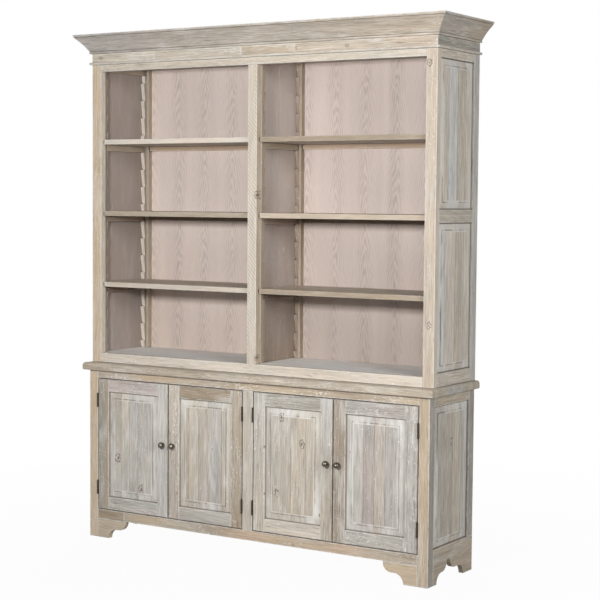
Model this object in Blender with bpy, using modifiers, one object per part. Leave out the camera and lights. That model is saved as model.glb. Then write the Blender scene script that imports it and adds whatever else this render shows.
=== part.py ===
"""A two-part limed pine bookcase: open shelves above, four cupboard doors below.

Metres, +Z up, the doors face -Y. The origin is the middle of the footprint, on the floor.
"""
from math import asin, cos, pi, sin

import bmesh
import bpy
from mathutils import Matrix, Vector

# Driving dimensions, in metres
BASE_WIDTH = 1.750
BASE_DEPTH = 0.396
UPPER_SIDE_STEP = 0.003
UPPER_SETBACK = 0.022

# Heights, from the floor up
FOOT_HEIGHT = 0.086
BASE_BOTTOM_RAIL = 0.044
DOOR_OPENING_HEIGHT = 0.602
BASE_TOP_RAIL = 0.035
WORKTOP_THICKNESS = 0.035
UPPER_BOTTOM_RAIL = 0.043
BAY_HEIGHT = 1.271
UPPER_TOP_RAIL = 0.031
ASTRAGAL_HEIGHT = 0.011
FRIEZE_HEIGHT = 0.039
CROWN_HEIGHT = 0.083

# Base carcass
BASE_STILE = 0.048
BASE_POST_DEPTH = 0.045
BASE_CENTRE_STILE = 0.052
BASE_FRAME_THICKNESS = 0.024
BASE_SIDE_TOP_RAIL = 0.042
BASE_SIDE_BOTTOM_RAIL = 0.061
SIDE_THICKNESS = 0.022
SIDE_REAR_STILE = 0.046
CUPBOARD_FLOOR_THICKNESS = 0.020
PARTITION_THICKNESS = 0.018
BACK_SHEET = 0.007
CUPBOARD_BACK_INSET = 0.009

# Bracket feet: the toe is the flat that stands on the floor
FRONT_TOE = 0.063
FRONT_BRACKET_REACH = 0.096
SIDE_FRONT_TOE = 0.032
SIDE_FRONT_REACH = 0.089
SIDE_REAR_TOE = 0.080
SIDE_ARCH_TOP = 0.031
BRACKET_LIP = 0.004

# Worktop
WORKTOP_OVERHANG = 0.024
WORKTOP_TOP_ROUND = 0.014
WORKTOP_UNDER_ROUND = 0.006

# Upper carcass
UPPER_STILE = 0.050
UPPER_CENTRE_STILE = 0.045
UPPER_FRAME_THICKNESS = 0.032
UPPER_SIDE_TOP_RAIL = 0.034
UPPER_SIDE_BOTTOM_RAIL = 0.055
UPPER_SIDE_MID_RAIL = 0.053
UPPER_SIDE_MID_HEIGHT = 0.657
DIVIDER_THICKNESS = 0.016
BOOKCASE_FLOOR_THICKNESS = 0.020
BOOKCASE_BACK_INSET = 0.015

# Cornice, whose dust board is the ceiling of the bays
CROWN_PROJECTION = 0.064
CROWN_FILLET = 0.012
CROWN_FILLET_LEAN = 0.004
CROWN_HOLLOW = 0.003
CROWN_FOOT = 0.010
CROWN_FOOT_HEIGHT = 0.011
ASTRAGAL_PROJECTION = 0.011
CORNICE_WALL = 0.036
DUST_BOARD = 0.012
DUST_BOARD_LAP = 0.003

# Shelves on toothed racks
SHELVES = 3
SHELF_THICKNESS = 0.022
SHELF_SETBACK = 0.015
SHELF_END_GAP = 0.006
SHELF_PLAY = 0.0015
RACK_THICKNESS = 0.018
RACK_DEPTH = 0.030
TOOTH_PITCH = 0.0805
TOOTH_DEPTH = 0.012
FIRST_NOTCH = 0.0325
FIRST_SHELF_NOTCH = 3
NOTCHES_PER_SHELF = 4
CLEAT_HEIGHT = 0.027
HEAD_CLEAT_LIFT = 0.005
BATTEN_HEIGHT = 0.021
BATTEN_DEPTH = 0.018
BACK_STRIP_WIDTH = 0.012
BACK_STRIP_DEPTH = 0.027
OUTER_STRIP_GAP = 0.014
INNER_STRIP_GAP = 0.001

# Framed and raised panels
GROOVE_DEPTH = 0.010
PANEL_TONGUE = 0.007
PANEL_PLAY = 0.0007
PANEL_BEVEL = 0.030
PANEL_RISE = 0.005
PANEL_STEP = 0.002
PANEL_STEP_RUN = 0.0005
FIELD_SETBACK = 0.003

# Doors, in two pairs
DOOR_THICKNESS = 0.022
DOOR_STILE = 0.058
DOOR_RAIL = 0.058
DOOR_TOP_GAP = 0.002
MEETING_GAP = 0.003

# Butt hinges, whose knuckles stand in front of the frame
HINGE_LENGTH = 0.064
HINGE_LEAF = 0.0009
HINGE_LEAF_DEPTH = 0.019
HINGE_KNUCKLE = 0.004
HINGE_PIN = 0.0016
PIN_PLAY = 0.0004
HINGE_INSET = 0.067
KNUCKLES = 5

# Turned knobs
KNOB_RADIUS = 0.0135
KNOB_NECK = 0.0055
KNOB_ROSE = 0.0085
KNOB_ROSE_HEIGHT = 0.003
KNOB_SPIGOT = 0.0038
KNOB_SPIGOT_LENGTH = 0.010
KNOB_FROM_EDGE = 0.0265
KNOB_HEIGHT = 0.326

# Clearances, laps and facets
GAP = 0.0003
LEAF_EASE = 0.0005
LAP = 0.001
WELD = 1e-6
FLAT_ANGLE = 1e-3
SHARP_ANGLE = pi / 5
ARC_STEPS = 6
ROUND_STEPS = 4
KNUCKLE_SIDES = 12
KNOB_STEPS = 20

# Levels and planes that follow from the sizes
Z_DOOR_LOW = FOOT_HEIGHT + BASE_BOTTOM_RAIL
Z_DOOR_HIGH = Z_DOOR_LOW + DOOR_OPENING_HEIGHT
Z_WORKTOP = Z_DOOR_HIGH + BASE_TOP_RAIL
Z_UPPER = Z_WORKTOP + WORKTOP_THICKNESS
Z_BAY_LOW = Z_UPPER + UPPER_BOTTOM_RAIL
Z_BAY_HIGH = Z_BAY_LOW + BAY_HEIGHT
Z_CORNICE = Z_BAY_HIGH + UPPER_TOP_RAIL

UPPER_DEPTH = BASE_DEPTH - UPPER_SETBACK
Y_BACK = (UPPER_DEPTH + CROWN_PROJECTION) / 2
Y_UPPER = Y_BACK - UPPER_DEPTH
Y_BASE = Y_BACK - BASE_DEPTH
Y_BASE_FRAME_BACK = Y_BASE + BASE_FRAME_THICKNESS
Y_BASE_POST_BACK = Y_BASE + BASE_POST_DEPTH
Y_UPPER_FRAME_BACK = Y_UPPER + UPPER_FRAME_THICKNESS
Y_CUPBOARD_BACK = Y_BACK - CUPBOARD_BACK_INSET - BACK_SHEET
Y_BOOKCASE_BACK = Y_BACK - BOOKCASE_BACK_INSET - BACK_SHEET
Y_SIDE_STILE = Y_BACK - SIDE_REAR_STILE

X_BASE = BASE_WIDTH / 2
X_BASE_INNER = X_BASE - SIDE_THICKNESS
X_DOOR_OUTER = X_BASE - BASE_STILE
X_DOOR_INNER = BASE_CENTRE_STILE / 2
X_UPPER = X_BASE + UPPER_SIDE_STEP
X_UPPER_INNER = X_UPPER - SIDE_THICKNESS
X_BAY_OUTER = X_UPPER - UPPER_STILE
X_BAY_INNER = UPPER_CENTRE_STILE / 2
X_DIVIDER = DIVIDER_THICKNESS / 2

OUTER_STRIP_INSET = RACK_THICKNESS + OUTER_STRIP_GAP
INNER_STRIP_INSET = RACK_THICKNESS + INNER_STRIP_GAP
PANEL_SETBACK = FIELD_SETBACK + PANEL_STEP + PANEL_RISE + PANEL_TONGUE / 2
HINGE_GAP = 2 * (HINGE_LEAF + 2 * GAP)
HINGE_PROUD = HINGE_KNUCKLE + LEAF_EASE
DOOR_WIDTH = (X_DOOR_OUTER - X_DOOR_INNER - 2 * HINGE_GAP - MEETING_GAP) / 2
DOOR_HEIGHT = DOOR_OPENING_HEIGHT - 2 * DOOR_TOP_GAP
Z_DOOR = Z_DOOR_LOW + DOOR_TOP_GAP

# How a flat drawing's X, Y and thickness lie on the bookcase
LYING = Matrix.Identity(4)
FRONTAL = Matrix.Rotation(pi / 2, 4, "X")
FACING_RIGHT = Matrix(((0, 0, 1, 0), (1, 0, 0, 0), (0, 1, 0, 0), (0, 0, 0, 1)))
FACING_LEFT = Matrix(((0, 0, -1, 0), (-1, 0, 0, 0), (0, 1, 0, 0), (0, 0, 0, 1)))

for leftover in list(bpy.data.objects):
    bpy.data.objects.remove(leftover, do_unlink=True)


def new_collection(name):
    collection = bpy.data.collections.new(name)
    bpy.context.scene.collection.children.link(collection)
    return collection


PARTS = new_collection("bookcase_with_cupboards")
CUTTERS = new_collection("cutters")


def finish(name, colour, roughness, metallic=0.0):
    material = bpy.data.materials.new(name)
    material.use_nodes = True
    shader = material.node_tree.nodes["Principled BSDF"]
    shader.inputs["Base Color"].default_value = (*colour, 1.0)
    shader.inputs["Roughness"].default_value = roughness
    shader.inputs["Metallic"].default_value = metallic
    return material


TAN_PINE = finish("tan_pine", (0.52, 0.41, 0.27), 0.6)
LIMED_PINE = finish("limed_pine", (0.50, 0.46, 0.39), 0.65)
INNER_PINE = finish("inner_pine", (0.36, 0.31, 0.26), 0.7)
OAK_VENEER = finish("oak_veneer", (0.55, 0.46, 0.39), 0.6)
DARK_IRON = finish("dark_iron", (0.04, 0.03, 0.025), 0.45, 0.8)
ANTIQUE_BRASS = finish("antique_brass", (0.22, 0.19, 0.14), 0.3, 1.0)


def add_part(name, mesh, material, location=(0, 0, 0), parent=None):
    """Put a finished mesh in the bookcase, on its carrier's empty where it moves."""
    part = bpy.data.objects.new(name, mesh)
    mesh.materials.clear()
    mesh.materials.append(material)
    part.location = Vector(location)
    if parent:
        part.parent = parent
        part.location -= parent.location
    PARTS.objects.link(part)
    return part


def add_cutter(name, mesh, location=(0, 0, 0)):
    cutter = bpy.data.objects.new(name, mesh)
    cutter.location = location
    cutter.hide_render = True
    cutter.display_type = "WIRE"
    CUTTERS.objects.link(cutter)
    return cutter


def combine(part, other, operation, solver="EXACT"):
    step = part.modifiers.new(f"{operation.lower()}_{other.name}", "BOOLEAN")
    step.operation = operation
    step.solver = solver
    step.object = other


def box_mesh(name, size):
    shape = bmesh.new()
    bmesh.ops.create_cube(shape, size=1.0)
    bmesh.ops.scale(shape, vec=size, verts=shape.verts)
    mesh = bpy.data.meshes.new(name)
    shape.to_mesh(mesh)
    shape.free()
    return mesh


def board(name, low, high, material):
    """A plain sawn board between two corners."""
    low, high = Vector(low), Vector(high)
    return add_part(name, box_mesh(name, high - low), material, (low + high) / 2)


def block_cutter(name, low, high):
    low, high = Vector(low), Vector(high)
    return add_cutter(name, box_mesh(name, high - low), (low + high) / 2)


def flat_mesh(name, loops, thickness, plane):
    """A flat outline, with its holes, as a solid of one thickness."""
    drawing = bpy.data.curves.new(name, "CURVE")
    drawing.dimensions = "2D"
    drawing.fill_mode = "BOTH"
    drawing.extrude = thickness / 2
    for loop in loops:
        spline = drawing.splines.new("POLY")
        spline.points.add(len(loop) - 1)
        for point, (across, along) in zip(spline.points, loop):
            point.co = (across, along, 0, 1)
        spline.use_cyclic_u = True
    sheet = bpy.data.objects.new(name, drawing)
    PARTS.objects.link(sheet)
    graph = bpy.context.evaluated_depsgraph_get()
    mesh = bpy.data.meshes.new_from_object(sheet.evaluated_get(graph))
    bpy.data.objects.remove(sheet, do_unlink=True)
    shape = bmesh.new()
    shape.from_mesh(mesh)
    bmesh.ops.remove_doubles(shape, verts=shape.verts, dist=WELD)
    bmesh.ops.dissolve_degenerate(shape, dist=WELD, edges=shape.edges)
    bmesh.ops.dissolve_limit(shape, angle_limit=FLAT_ANGLE, verts=shape.verts, edges=shape.edges)
    bmesh.ops.recalc_face_normals(shape, faces=shape.faces)
    bmesh.ops.transform(shape, matrix=plane, verts=shape.verts)
    shape.to_mesh(mesh)
    shape.free()
    return mesh


def rectangle(low, high):
    return [(low[0], low[1]), (high[0], low[1]), (high[0], high[1]), (low[0], high[1])]


def rod_mesh(name, radius, length, sides):
    """A faceted round bar along Z, its middle at the origin."""
    shape = bmesh.new()
    bmesh.ops.create_cone(shape, cap_ends=True, segments=sides, radius1=radius, radius2=radius, depth=length)
    mesh = bpy.data.meshes.new(name)
    shape.to_mesh(mesh)
    shape.free()
    return mesh


def raised_panel_mesh(name, width, height, plane):
    """A thin tongued edge, a sloping margin and a raised field."""
    shape = bmesh.new()
    bmesh.ops.create_cube(shape, size=1.0)
    bmesh.ops.scale(shape, vec=(width, height, PANEL_TONGUE), verts=shape.verts)
    field = max(shape.faces, key=lambda face: face.calc_center_median().z)
    steps = ((GROOVE_DEPTH - PANEL_PLAY, 0.0), (PANEL_BEVEL, PANEL_RISE), (PANEL_STEP_RUN, PANEL_STEP))
    for inset, rise in steps:
        bmesh.ops.inset_region(shape, faces=[field], thickness=inset, use_boundary=True, use_even_offset=True)
        bmesh.ops.translate(shape, verts=field.verts, vec=(0, 0, rise))
    bmesh.ops.transform(shape, matrix=plane, verts=shape.verts)
    mesh = bpy.data.meshes.new(name)
    shape.to_mesh(mesh)
    shape.free()
    return mesh


def bracket_profile(toe, tip, heel_height):
    """Points from the toe on the floor, up a cove and round a lobe, to the tip under the rail."""
    cove = heel_height / 2
    lobe = heel_height - cove - BRACKET_LIP
    room = (tip - toe) / 2
    cove_run = max(min(cove, room), -cove)
    lobe_run = max(min(lobe, room), -lobe)
    turns = [step * pi / 2 / ARC_STEPS for step in range(ARC_STEPS + 1)]
    hollow = [(toe + cove_run * (1 - cos(turn)), cove * sin(turn)) for turn in turns]
    round_end = [(tip - lobe_run * (1 - sin(turn)), cove + lobe * (1 - cos(turn))) for turn in turns]
    return hollow + round_end + [(tip, heel_height)]


def make_base_face_frame():
    """Two corner posts that reach the floor, a centre stile and two rails."""
    outer = [
        (-X_BASE, 0), (-X_DOOR_OUTER, 0), (-X_DOOR_OUTER, FOOT_HEIGHT), (X_DOOR_OUTER, FOOT_HEIGHT),
        (X_DOOR_OUTER, 0), (X_BASE, 0), (X_BASE, Z_WORKTOP), (-X_BASE, Z_WORKTOP),
    ]
    left = rectangle((-X_DOOR_OUTER, Z_DOOR_LOW), (-X_DOOR_INNER, Z_DOOR_HIGH))
    right = rectangle((X_DOOR_INNER, Z_DOOR_LOW), (X_DOOR_OUTER, Z_DOOR_HIGH))
    mesh = flat_mesh("base_face_frame", [outer, left, right], BASE_FRAME_THICKNESS, FRONTAL)
    frame = add_part("base_face_frame", mesh, TAN_PINE, (0, Y_BASE + BASE_FRAME_THICKNESS / 2, 0))
    for side in (-1, 1):
        across = sorted((side * X_DOOR_OUTER, side * X_BASE))
        low = (across[0], Y_BASE_FRAME_BACK - LAP, 0)
        high = (across[1], Y_BASE_POST_BACK, Z_WORKTOP)
        combine(frame, block_cutter(f"post_back_{across[0]:.2f}", low, high), "UNION")
    return frame


def make_front_brackets():
    """Bracket feet glued under the bottom rail, against the corner posts."""
    height = FOOT_HEIGHT - GAP
    for side, word in ((-1, "left"), (1, "right")):
        heel = side * (X_DOOR_OUTER - GAP)
        toe = heel - side * FRONT_TOE
        outline = bracket_profile(toe, toe - side * FRONT_BRACKET_REACH, height)
        outline += [(heel, height), (heel, 0)]
        name = f"foot_bracket_front_{word}"
        mesh = flat_mesh(name, [outline], BASE_FRAME_THICKNESS, FRONTAL)
        add_part(name, mesh, TAN_PINE, (0, Y_BASE + BASE_FRAME_THICKNESS / 2, 0))


def side_plane(side):
    return FACING_RIGHT if side > 0 else FACING_LEFT


def side_points(points, side):
    """Drawings of the left side run towards -Y, those of the right side towards +Y."""
    return [(side * along, up) for along, up in points]


def add_side_panel(name, posts, frame, x_face, side, low, high, material):
    """A raised panel in the grooves of its side frame and of the front post."""
    y_mid = (low[0] + high[0]) / 2
    z_mid = (low[1] + high[1]) / 2
    width = high[0] - low[0] + 2 * (GROOVE_DEPTH - PANEL_PLAY)
    height = high[1] - low[1] + 2 * (GROOVE_DEPTH - PANEL_PLAY)
    depth_in = x_face - side * PANEL_SETBACK
    add_part(name, raised_panel_mesh(name, width, height, side_plane(side)), material, (depth_in, y_mid, z_mid))
    half = PANEL_TONGUE / 2 + GAP
    groove_low = (depth_in - half, low[0] - GROOVE_DEPTH, low[1] - GROOVE_DEPTH)
    groove_high = (depth_in + half, high[0] + GROOVE_DEPTH, high[1] + GROOVE_DEPTH)
    groove = block_cutter(f"groove_{name}", groove_low, groove_high)
    combine(frame, groove, "DIFFERENCE")
    combine(posts, groove, "DIFFERENCE")


def make_base_sides(posts):
    """Side frames with bracket-cut bottom rails, each round one raised panel."""
    front = Y_BASE_POST_BACK + GAP
    top = Z_WORKTOP - GAP
    open_low = FOOT_HEIGHT + BASE_SIDE_BOTTOM_RAIL
    open_high = Z_WORKTOP - BASE_SIDE_TOP_RAIL
    front_toe = front + SIDE_FRONT_TOE
    front_tip = front_toe + SIDE_FRONT_REACH
    rear_toe = Y_BACK - SIDE_REAR_TOE
    outline = [(front, 0)]
    outline += bracket_profile(front_toe, front_tip, FOOT_HEIGHT)
    outline += bracket_profile(rear_toe, front_tip + SIDE_ARCH_TOP, FOOT_HEIGHT)[::-1]
    outline += [(Y_BACK, 0), (Y_BACK, top), (front, top), (front, open_high)]
    outline += [(Y_SIDE_STILE, open_high), (Y_SIDE_STILE, open_low), (front, open_low)]
    for side, word in ((-1, "left"), (1, "right")):
        name = f"base_side_frame_{word}"
        mesh = flat_mesh(name, [side_points(outline, side)], SIDE_THICKNESS, side_plane(side))
        frame = add_part(name, mesh, LIMED_PINE, (side * (X_BASE - SIDE_THICKNESS / 2), 0, 0))
        low = (Y_BASE_POST_BACK, open_low)
        high = (Y_SIDE_STILE, open_high)
        add_side_panel(f"base_side_panel_{word}", posts, frame, side * X_BASE, side, low, high, LIMED_PINE)


def make_cupboard_inside():
    """The floor round the corner posts, the partition behind the centre stile, and the back."""
    front = Y_BASE_FRAME_BACK + GAP
    behind_posts = Y_BASE_POST_BACK + GAP
    narrow = X_DOOR_OUTER - GAP
    wide = X_BASE_INNER - GAP
    rear = Y_CUPBOARD_BACK - GAP
    outline = [
        (-narrow, front), (narrow, front), (narrow, behind_posts), (wide, behind_posts),
        (wide, rear), (-wide, rear), (-wide, behind_posts), (-narrow, behind_posts),
    ]
    mesh = flat_mesh("cupboard_floor", [outline], CUPBOARD_FLOOR_THICKNESS, LYING)
    add_part("cupboard_floor", mesh, INNER_PINE, (0, 0, Z_DOOR_LOW - CUPBOARD_FLOOR_THICKNESS / 2))
    half = PARTITION_THICKNESS / 2
    board("cupboard_partition", (-half, front, Z_DOOR_LOW + GAP), (half, rear, Z_WORKTOP - GAP), INNER_PINE)
    sheet_low = (-wide, Y_CUPBOARD_BACK, Z_DOOR_LOW - CUPBOARD_FLOOR_THICKNESS)
    sheet_high = (wide, Y_CUPBOARD_BACK + BACK_SHEET, Z_WORKTOP - GAP)
    board("cupboard_back", sheet_low, sheet_high, OAK_VENEER)


def make_worktop():
    """One board, rounded over at the front and both ends, square at the back."""
    width = BASE_WIDTH + 2 * WORKTOP_OVERHANG
    size = Vector((width, BASE_DEPTH + WORKTOP_OVERHANG, WORKTOP_THICKNESS - 2 * GAP))
    shape = bmesh.new()
    bmesh.ops.create_cube(shape, size=1.0)
    bmesh.ops.scale(shape, vec=size, verts=shape.verts)
    for up, radius in ((1, WORKTOP_TOP_ROUND), (-1, WORKTOP_UNDER_ROUND)):
        rims = []
        for edge in shape.edges:
            level = all(abs(vert.co.z - up * size.z / 2) < WELD for vert in edge.verts)
            at_back = all(vert.co.y > size.y / 2 - WELD for vert in edge.verts)
            if level and not at_back:
                rims.append(edge)
        bmesh.ops.bevel(shape, geom=rims, offset=radius, segments=ROUND_STEPS, profile=0.5, affect="EDGES")
    mesh = bpy.data.meshes.new("worktop")
    shape.to_mesh(mesh)
    shape.free()
    middle = (0, Y_BACK - size.y / 2, Z_WORKTOP + WORKTOP_THICKNESS / 2)
    add_part("worktop", mesh, LIMED_PINE, middle)


def make_upper_face_frame():
    """Corner posts, centre stile and rails round the two open bays."""
    outer = rectangle((-X_UPPER, Z_UPPER + GAP), (X_UPPER, Z_CORNICE))
    left = rectangle((-X_BAY_OUTER, Z_BAY_LOW), (-X_BAY_INNER, Z_BAY_HIGH))
    right = rectangle((X_BAY_INNER, Z_BAY_LOW), (X_BAY_OUTER, Z_BAY_HIGH))
    mesh = flat_mesh("upper_face_frame", [outer, left, right], UPPER_FRAME_THICKNESS, FRONTAL)
    return add_part("upper_face_frame", mesh, TAN_PINE, (0, Y_UPPER + UPPER_FRAME_THICKNESS / 2, 0))


def make_upper_sides(posts):
    """Side frames of three rails and a rear stile, each round two raised panels."""
    front = Y_UPPER_FRAME_BACK + GAP
    bottom = Z_UPPER + GAP
    low_open = Z_UPPER + UPPER_SIDE_BOTTOM_RAIL
    mid_low = Z_UPPER + UPPER_SIDE_MID_HEIGHT
    mid_high = mid_low + UPPER_SIDE_MID_RAIL
    high_open = Z_CORNICE - UPPER_SIDE_TOP_RAIL
    outline = [
        (front, bottom), (Y_BACK, bottom), (Y_BACK, Z_CORNICE), (front, Z_CORNICE),
        (front, high_open), (Y_SIDE_STILE, high_open), (Y_SIDE_STILE, mid_high), (front, mid_high),
        (front, mid_low), (Y_SIDE_STILE, mid_low), (Y_SIDE_STILE, low_open), (front, low_open),
    ]
    for side, word in ((-1, "left"), (1, "right")):
        name = f"upper_side_frame_{word}"
        mesh = flat_mesh(name, [side_points(outline, side)], SIDE_THICKNESS, side_plane(side))
        frame = add_part(name, mesh, LIMED_PINE, (side * (X_UPPER - SIDE_THICKNESS / 2), 0, 0))
        for level, z_low, z_high in (("lower", low_open, mid_low), ("upper", mid_high, high_open)):
            low = (Y_UPPER_FRAME_BACK, z_low)
            high = (Y_SIDE_STILE, z_high)
            panel = f"upper_side_panel_{word}_{level}"
            add_side_panel(panel, posts, frame, side * X_UPPER, side, low, high, LIMED_PINE)


def make_bookcase_inside():
    """The bottom board, the centre divider, and the back with its corner strips."""
    front = Y_UPPER_FRAME_BACK + GAP
    rear = Y_BOOKCASE_BACK - GAP
    wide = X_UPPER_INNER - GAP
    floor_low = (-wide, front, Z_BAY_LOW - BOOKCASE_FLOOR_THICKNESS)
    board("bookcase_floor", floor_low, (wide, rear, Z_BAY_LOW), INNER_PINE)
    divider_low = (-X_DIVIDER, front, Z_BAY_LOW + GAP)
    board("centre_divider", divider_low, (X_DIVIDER, rear, Z_CORNICE), INNER_PINE)
    sheet_low = (-wide, Y_BOOKCASE_BACK, Z_UPPER + GAP)
    back = board("bookcase_back", sheet_low, (wide, Y_BOOKCASE_BACK + BACK_SHEET, Z_CORNICE - GAP), OAK_VENEER)
    insets = (
        -X_UPPER_INNER + OUTER_STRIP_INSET, -X_DIVIDER - INNER_STRIP_INSET - BACK_STRIP_WIDTH,
        X_DIVIDER + INNER_STRIP_INSET, X_UPPER_INNER - OUTER_STRIP_INSET - BACK_STRIP_WIDTH,
    )
    for number, x_low in enumerate(insets, 1):
        low = (x_low, Y_BOOKCASE_BACK - BACK_STRIP_DEPTH, Z_BAY_LOW + GAP)
        high = (x_low + BACK_STRIP_WIDTH, Y_BOOKCASE_BACK + LAP, Z_CORNICE - LAP)
        combine(back, block_cutter(f"back_strip_{number}", low, high), "UNION")


def cornice_section():
    """The moulding's section: how far out from the carcass, and how high."""
    crown_low = Z_CORNICE + GAP + ASTRAGAL_HEIGHT + FRIEZE_HEIGHT
    top = crown_low + CROWN_HEIGHT - GAP
    bead = ASTRAGAL_HEIGHT / 2
    bead_mid = Z_CORNICE + GAP + bead
    quarter = [step * pi / 2 / ARC_STEPS for step in range(ARC_STEPS + 1)]
    section = [(-CORNICE_WALL, top), (-CORNICE_WALL, Z_CORNICE + GAP)]
    flat = ASTRAGAL_PROJECTION - bead
    for turn in quarter + [pi / 2 + angle for angle in quarter[1:]]:
        section.append((flat + bead * sin(turn), bead_mid - bead * cos(turn)))
    section += [(0, bead_mid + bead), (0, crown_low), (CROWN_FOOT, crown_low)]
    cove_low = Vector((CROWN_FOOT, crown_low + CROWN_FOOT_HEIGHT))
    cove_high = Vector((CROWN_PROJECTION - CROWN_FILLET_LEAN, top - CROWN_FILLET))
    hollow = (cove_high - cove_low).orthogonal().normalized() * CROWN_HOLLOW
    for step in range(2 * ARC_STEPS + 1):
        share = step / (2 * ARC_STEPS)
        section.append(tuple(cove_low.lerp(cove_high, share) + hollow * sin(pi * share)))
    section.append((CROWN_PROJECTION, top))
    return section


def make_cornice():
    """Crown, frieze and bead in one mitred run round three sides, on a dust board."""
    section = cornice_section()
    stations = (
        ((-X_UPPER, Y_BACK), (-1, 0)), ((-X_UPPER, Y_UPPER), (-1, -1)),
        ((X_UPPER, Y_UPPER), (1, -1)), ((X_UPPER, Y_BACK), (1, 0)),
    )
    shape = bmesh.new()
    rings = []
    for (x_face, y_face), (x_out, y_out) in stations:
        ring = [shape.verts.new((x_face + out * x_out, y_face + out * y_out, up)) for out, up in section]
        rings.append([shape.edges.new(pair) for pair in zip(ring, ring[1:] + ring[:1])])
    for ring, following in zip(rings, rings[1:]):
        bmesh.ops.bridge_loops(shape, edges=ring + following)
    for end in (rings[0], rings[-1]):
        bmesh.ops.contextual_create(shape, geom=end)
    bmesh.ops.recalc_face_normals(shape, faces=shape.faces)
    mesh = bpy.data.meshes.new("cornice")
    shape.to_mesh(mesh)
    shape.free()
    cornice = add_part("cornice", mesh, LIMED_PINE)
    wide = X_UPPER - CORNICE_WALL + DUST_BOARD_LAP
    bottom = Z_CORNICE + 2 * GAP
    low = (-wide, Y_UPPER + CORNICE_WALL - DUST_BOARD_LAP, bottom)
    high = (wide, Y_BACK - LAP, bottom + DUST_BOARD)
    combine(cornice, block_cutter("dust_board", low, high), "UNION")


def tooth_points(tip, root, z_from, z_to):
    """A rack edge going up: level ledges, each with a ramp from its root to the next tip."""
    def edge_at(height):
        rise = (height - Z_BAY_LOW - FIRST_NOTCH) % TOOTH_PITCH
        return root + (tip - root) * rise / TOOTH_PITCH

    points = [(edge_at(z_from), z_from)]
    ledge = Z_BAY_LOW + FIRST_NOTCH
    while ledge < z_to - LAP:
        if ledge > z_from + LAP:
            points += [(tip, ledge), (root, ledge)]
        ledge += TOOTH_PITCH
    points.append((edge_at(z_to - GAP), z_to))
    return points


def shelf_levels():
    """The undersides of the shelves, where their cleats sit in the notches."""
    first = Z_BAY_LOW + FIRST_NOTCH + FIRST_SHELF_NOTCH * TOOTH_PITCH + CLEAT_HEIGHT
    return [first + number * NOTCHES_PER_SHELF * TOOTH_PITCH for number in range(SHELVES)]


Y_RACK_FRONT = Y_UPPER_FRAME_BACK + GAP
Y_RACK_REAR = Y_BOOKCASE_BACK - GAP
Y_FRONT_TIP = Y_RACK_FRONT + RACK_DEPTH
Y_REAR_TIP = Y_RACK_REAR - RACK_DEPTH


def make_rack(name, x_face, inward, has_head):
    """A front and a rear toothed rack, and the cleats between them: one for each shelf, and one at the head."""
    low = Z_BAY_LOW + GAP
    high = Z_CORNICE - GAP
    cleats = [(under - GAP - CLEAT_HEIGHT, under - GAP) for under in shelf_levels()]
    if has_head:
        cleats.append((Z_BAY_HIGH + HEAD_CLEAT_LIFT, high))

    def front_edge(z_from, z_to):
        return tooth_points(Y_FRONT_TIP, Y_FRONT_TIP - TOOTH_DEPTH, z_from, z_to)

    def rear_edge(z_from, z_to):
        return tooth_points(Y_REAR_TIP, Y_REAR_TIP + TOOTH_DEPTH, z_from, z_to)

    outer = [(Y_RACK_FRONT, low), (Y_RACK_FRONT, high)]
    if not has_head:
        outer += front_edge(cleats[-1][1], high)[::-1] + rear_edge(cleats[-1][1], high)
    outer += [(Y_RACK_REAR, high), (Y_RACK_REAR, low)]
    outer += rear_edge(low, cleats[0][0]) + front_edge(low, cleats[0][0])[::-1]
    holes = []
    for below, above in zip(cleats, cleats[1:]):
        holes.append(front_edge(below[1], above[0]) + rear_edge(below[1], above[0])[::-1])
    mesh = flat_mesh(name, [outer] + holes, RACK_THICKNESS, FACING_RIGHT)
    add_part(name, mesh, INNER_PINE, (x_face + inward * (GAP + RACK_THICKNESS / 2), 0, 0))


def make_shelf(name, under, sides):
    """A board notched round posts, racks and back strips, with a batten under its rear edge."""
    front = Y_UPPER + SHELF_SETBACK
    rack_front = Y_FRONT_TIP + SHELF_PLAY
    rack_rear = Y_REAR_TIP - SHELF_PLAY
    rear = Y_BOOKCASE_BACK - GAP
    left, right = [], []
    for ends, (x_face, x_reveal, x_strip, inward) in zip((left, right), sides):
        ends += [
            (x_reveal + inward * SHELF_END_GAP, front), (x_reveal + inward * SHELF_END_GAP, rack_front),
            (x_face + inward * SHELF_PLAY, rack_front), (x_face + inward * SHELF_PLAY, rack_rear),
            (x_strip + inward * SHELF_PLAY, rack_rear), (x_strip + inward * SHELF_PLAY, rear),
        ]
    mesh = flat_mesh(name, [right + left[::-1]], SHELF_THICKNESS, LYING)
    shelf = add_part(name, mesh, LIMED_PINE, (0, 0, under + SHELF_THICKNESS / 2))
    batten_low = (left[-1][0] + LAP, rear - BATTEN_DEPTH, under - BATTEN_HEIGHT)
    batten_high = (right[-1][0] - LAP, rear - GAP, under + LAP)
    combine(shelf, block_cutter(f"batten_{name}", batten_low, batten_high), "UNION", "MANIFOLD")


def make_bays():
    """Racks on both sides of each bay, and the shelves that lie on their cleats."""
    outer_strip = OUTER_STRIP_INSET + BACK_STRIP_WIDTH
    inner_strip = INNER_STRIP_INSET + BACK_STRIP_WIDTH
    outer = (X_UPPER_INNER, X_BAY_OUTER, X_UPPER_INNER - outer_strip)
    inner = (X_DIVIDER, X_BAY_INNER, X_DIVIDER + inner_strip)
    left_bay = ([-place for place in outer] + [1], [-place for place in inner] + [-1])
    right_bay = (list(inner) + [1], list(outer) + [-1])
    for bay, sides in (("left", left_bay), ("right", right_bay)):
        for hand, (x_face, _, _, inward) in zip(("left", "right"), sides):
            make_rack(f"shelf_rack_{bay}_bay_{hand}", x_face, inward, bay == hand)
        for number, under in enumerate(shelf_levels(), 1):
            make_shelf(f"shelf_{bay}_{number}", under, sides)


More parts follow.
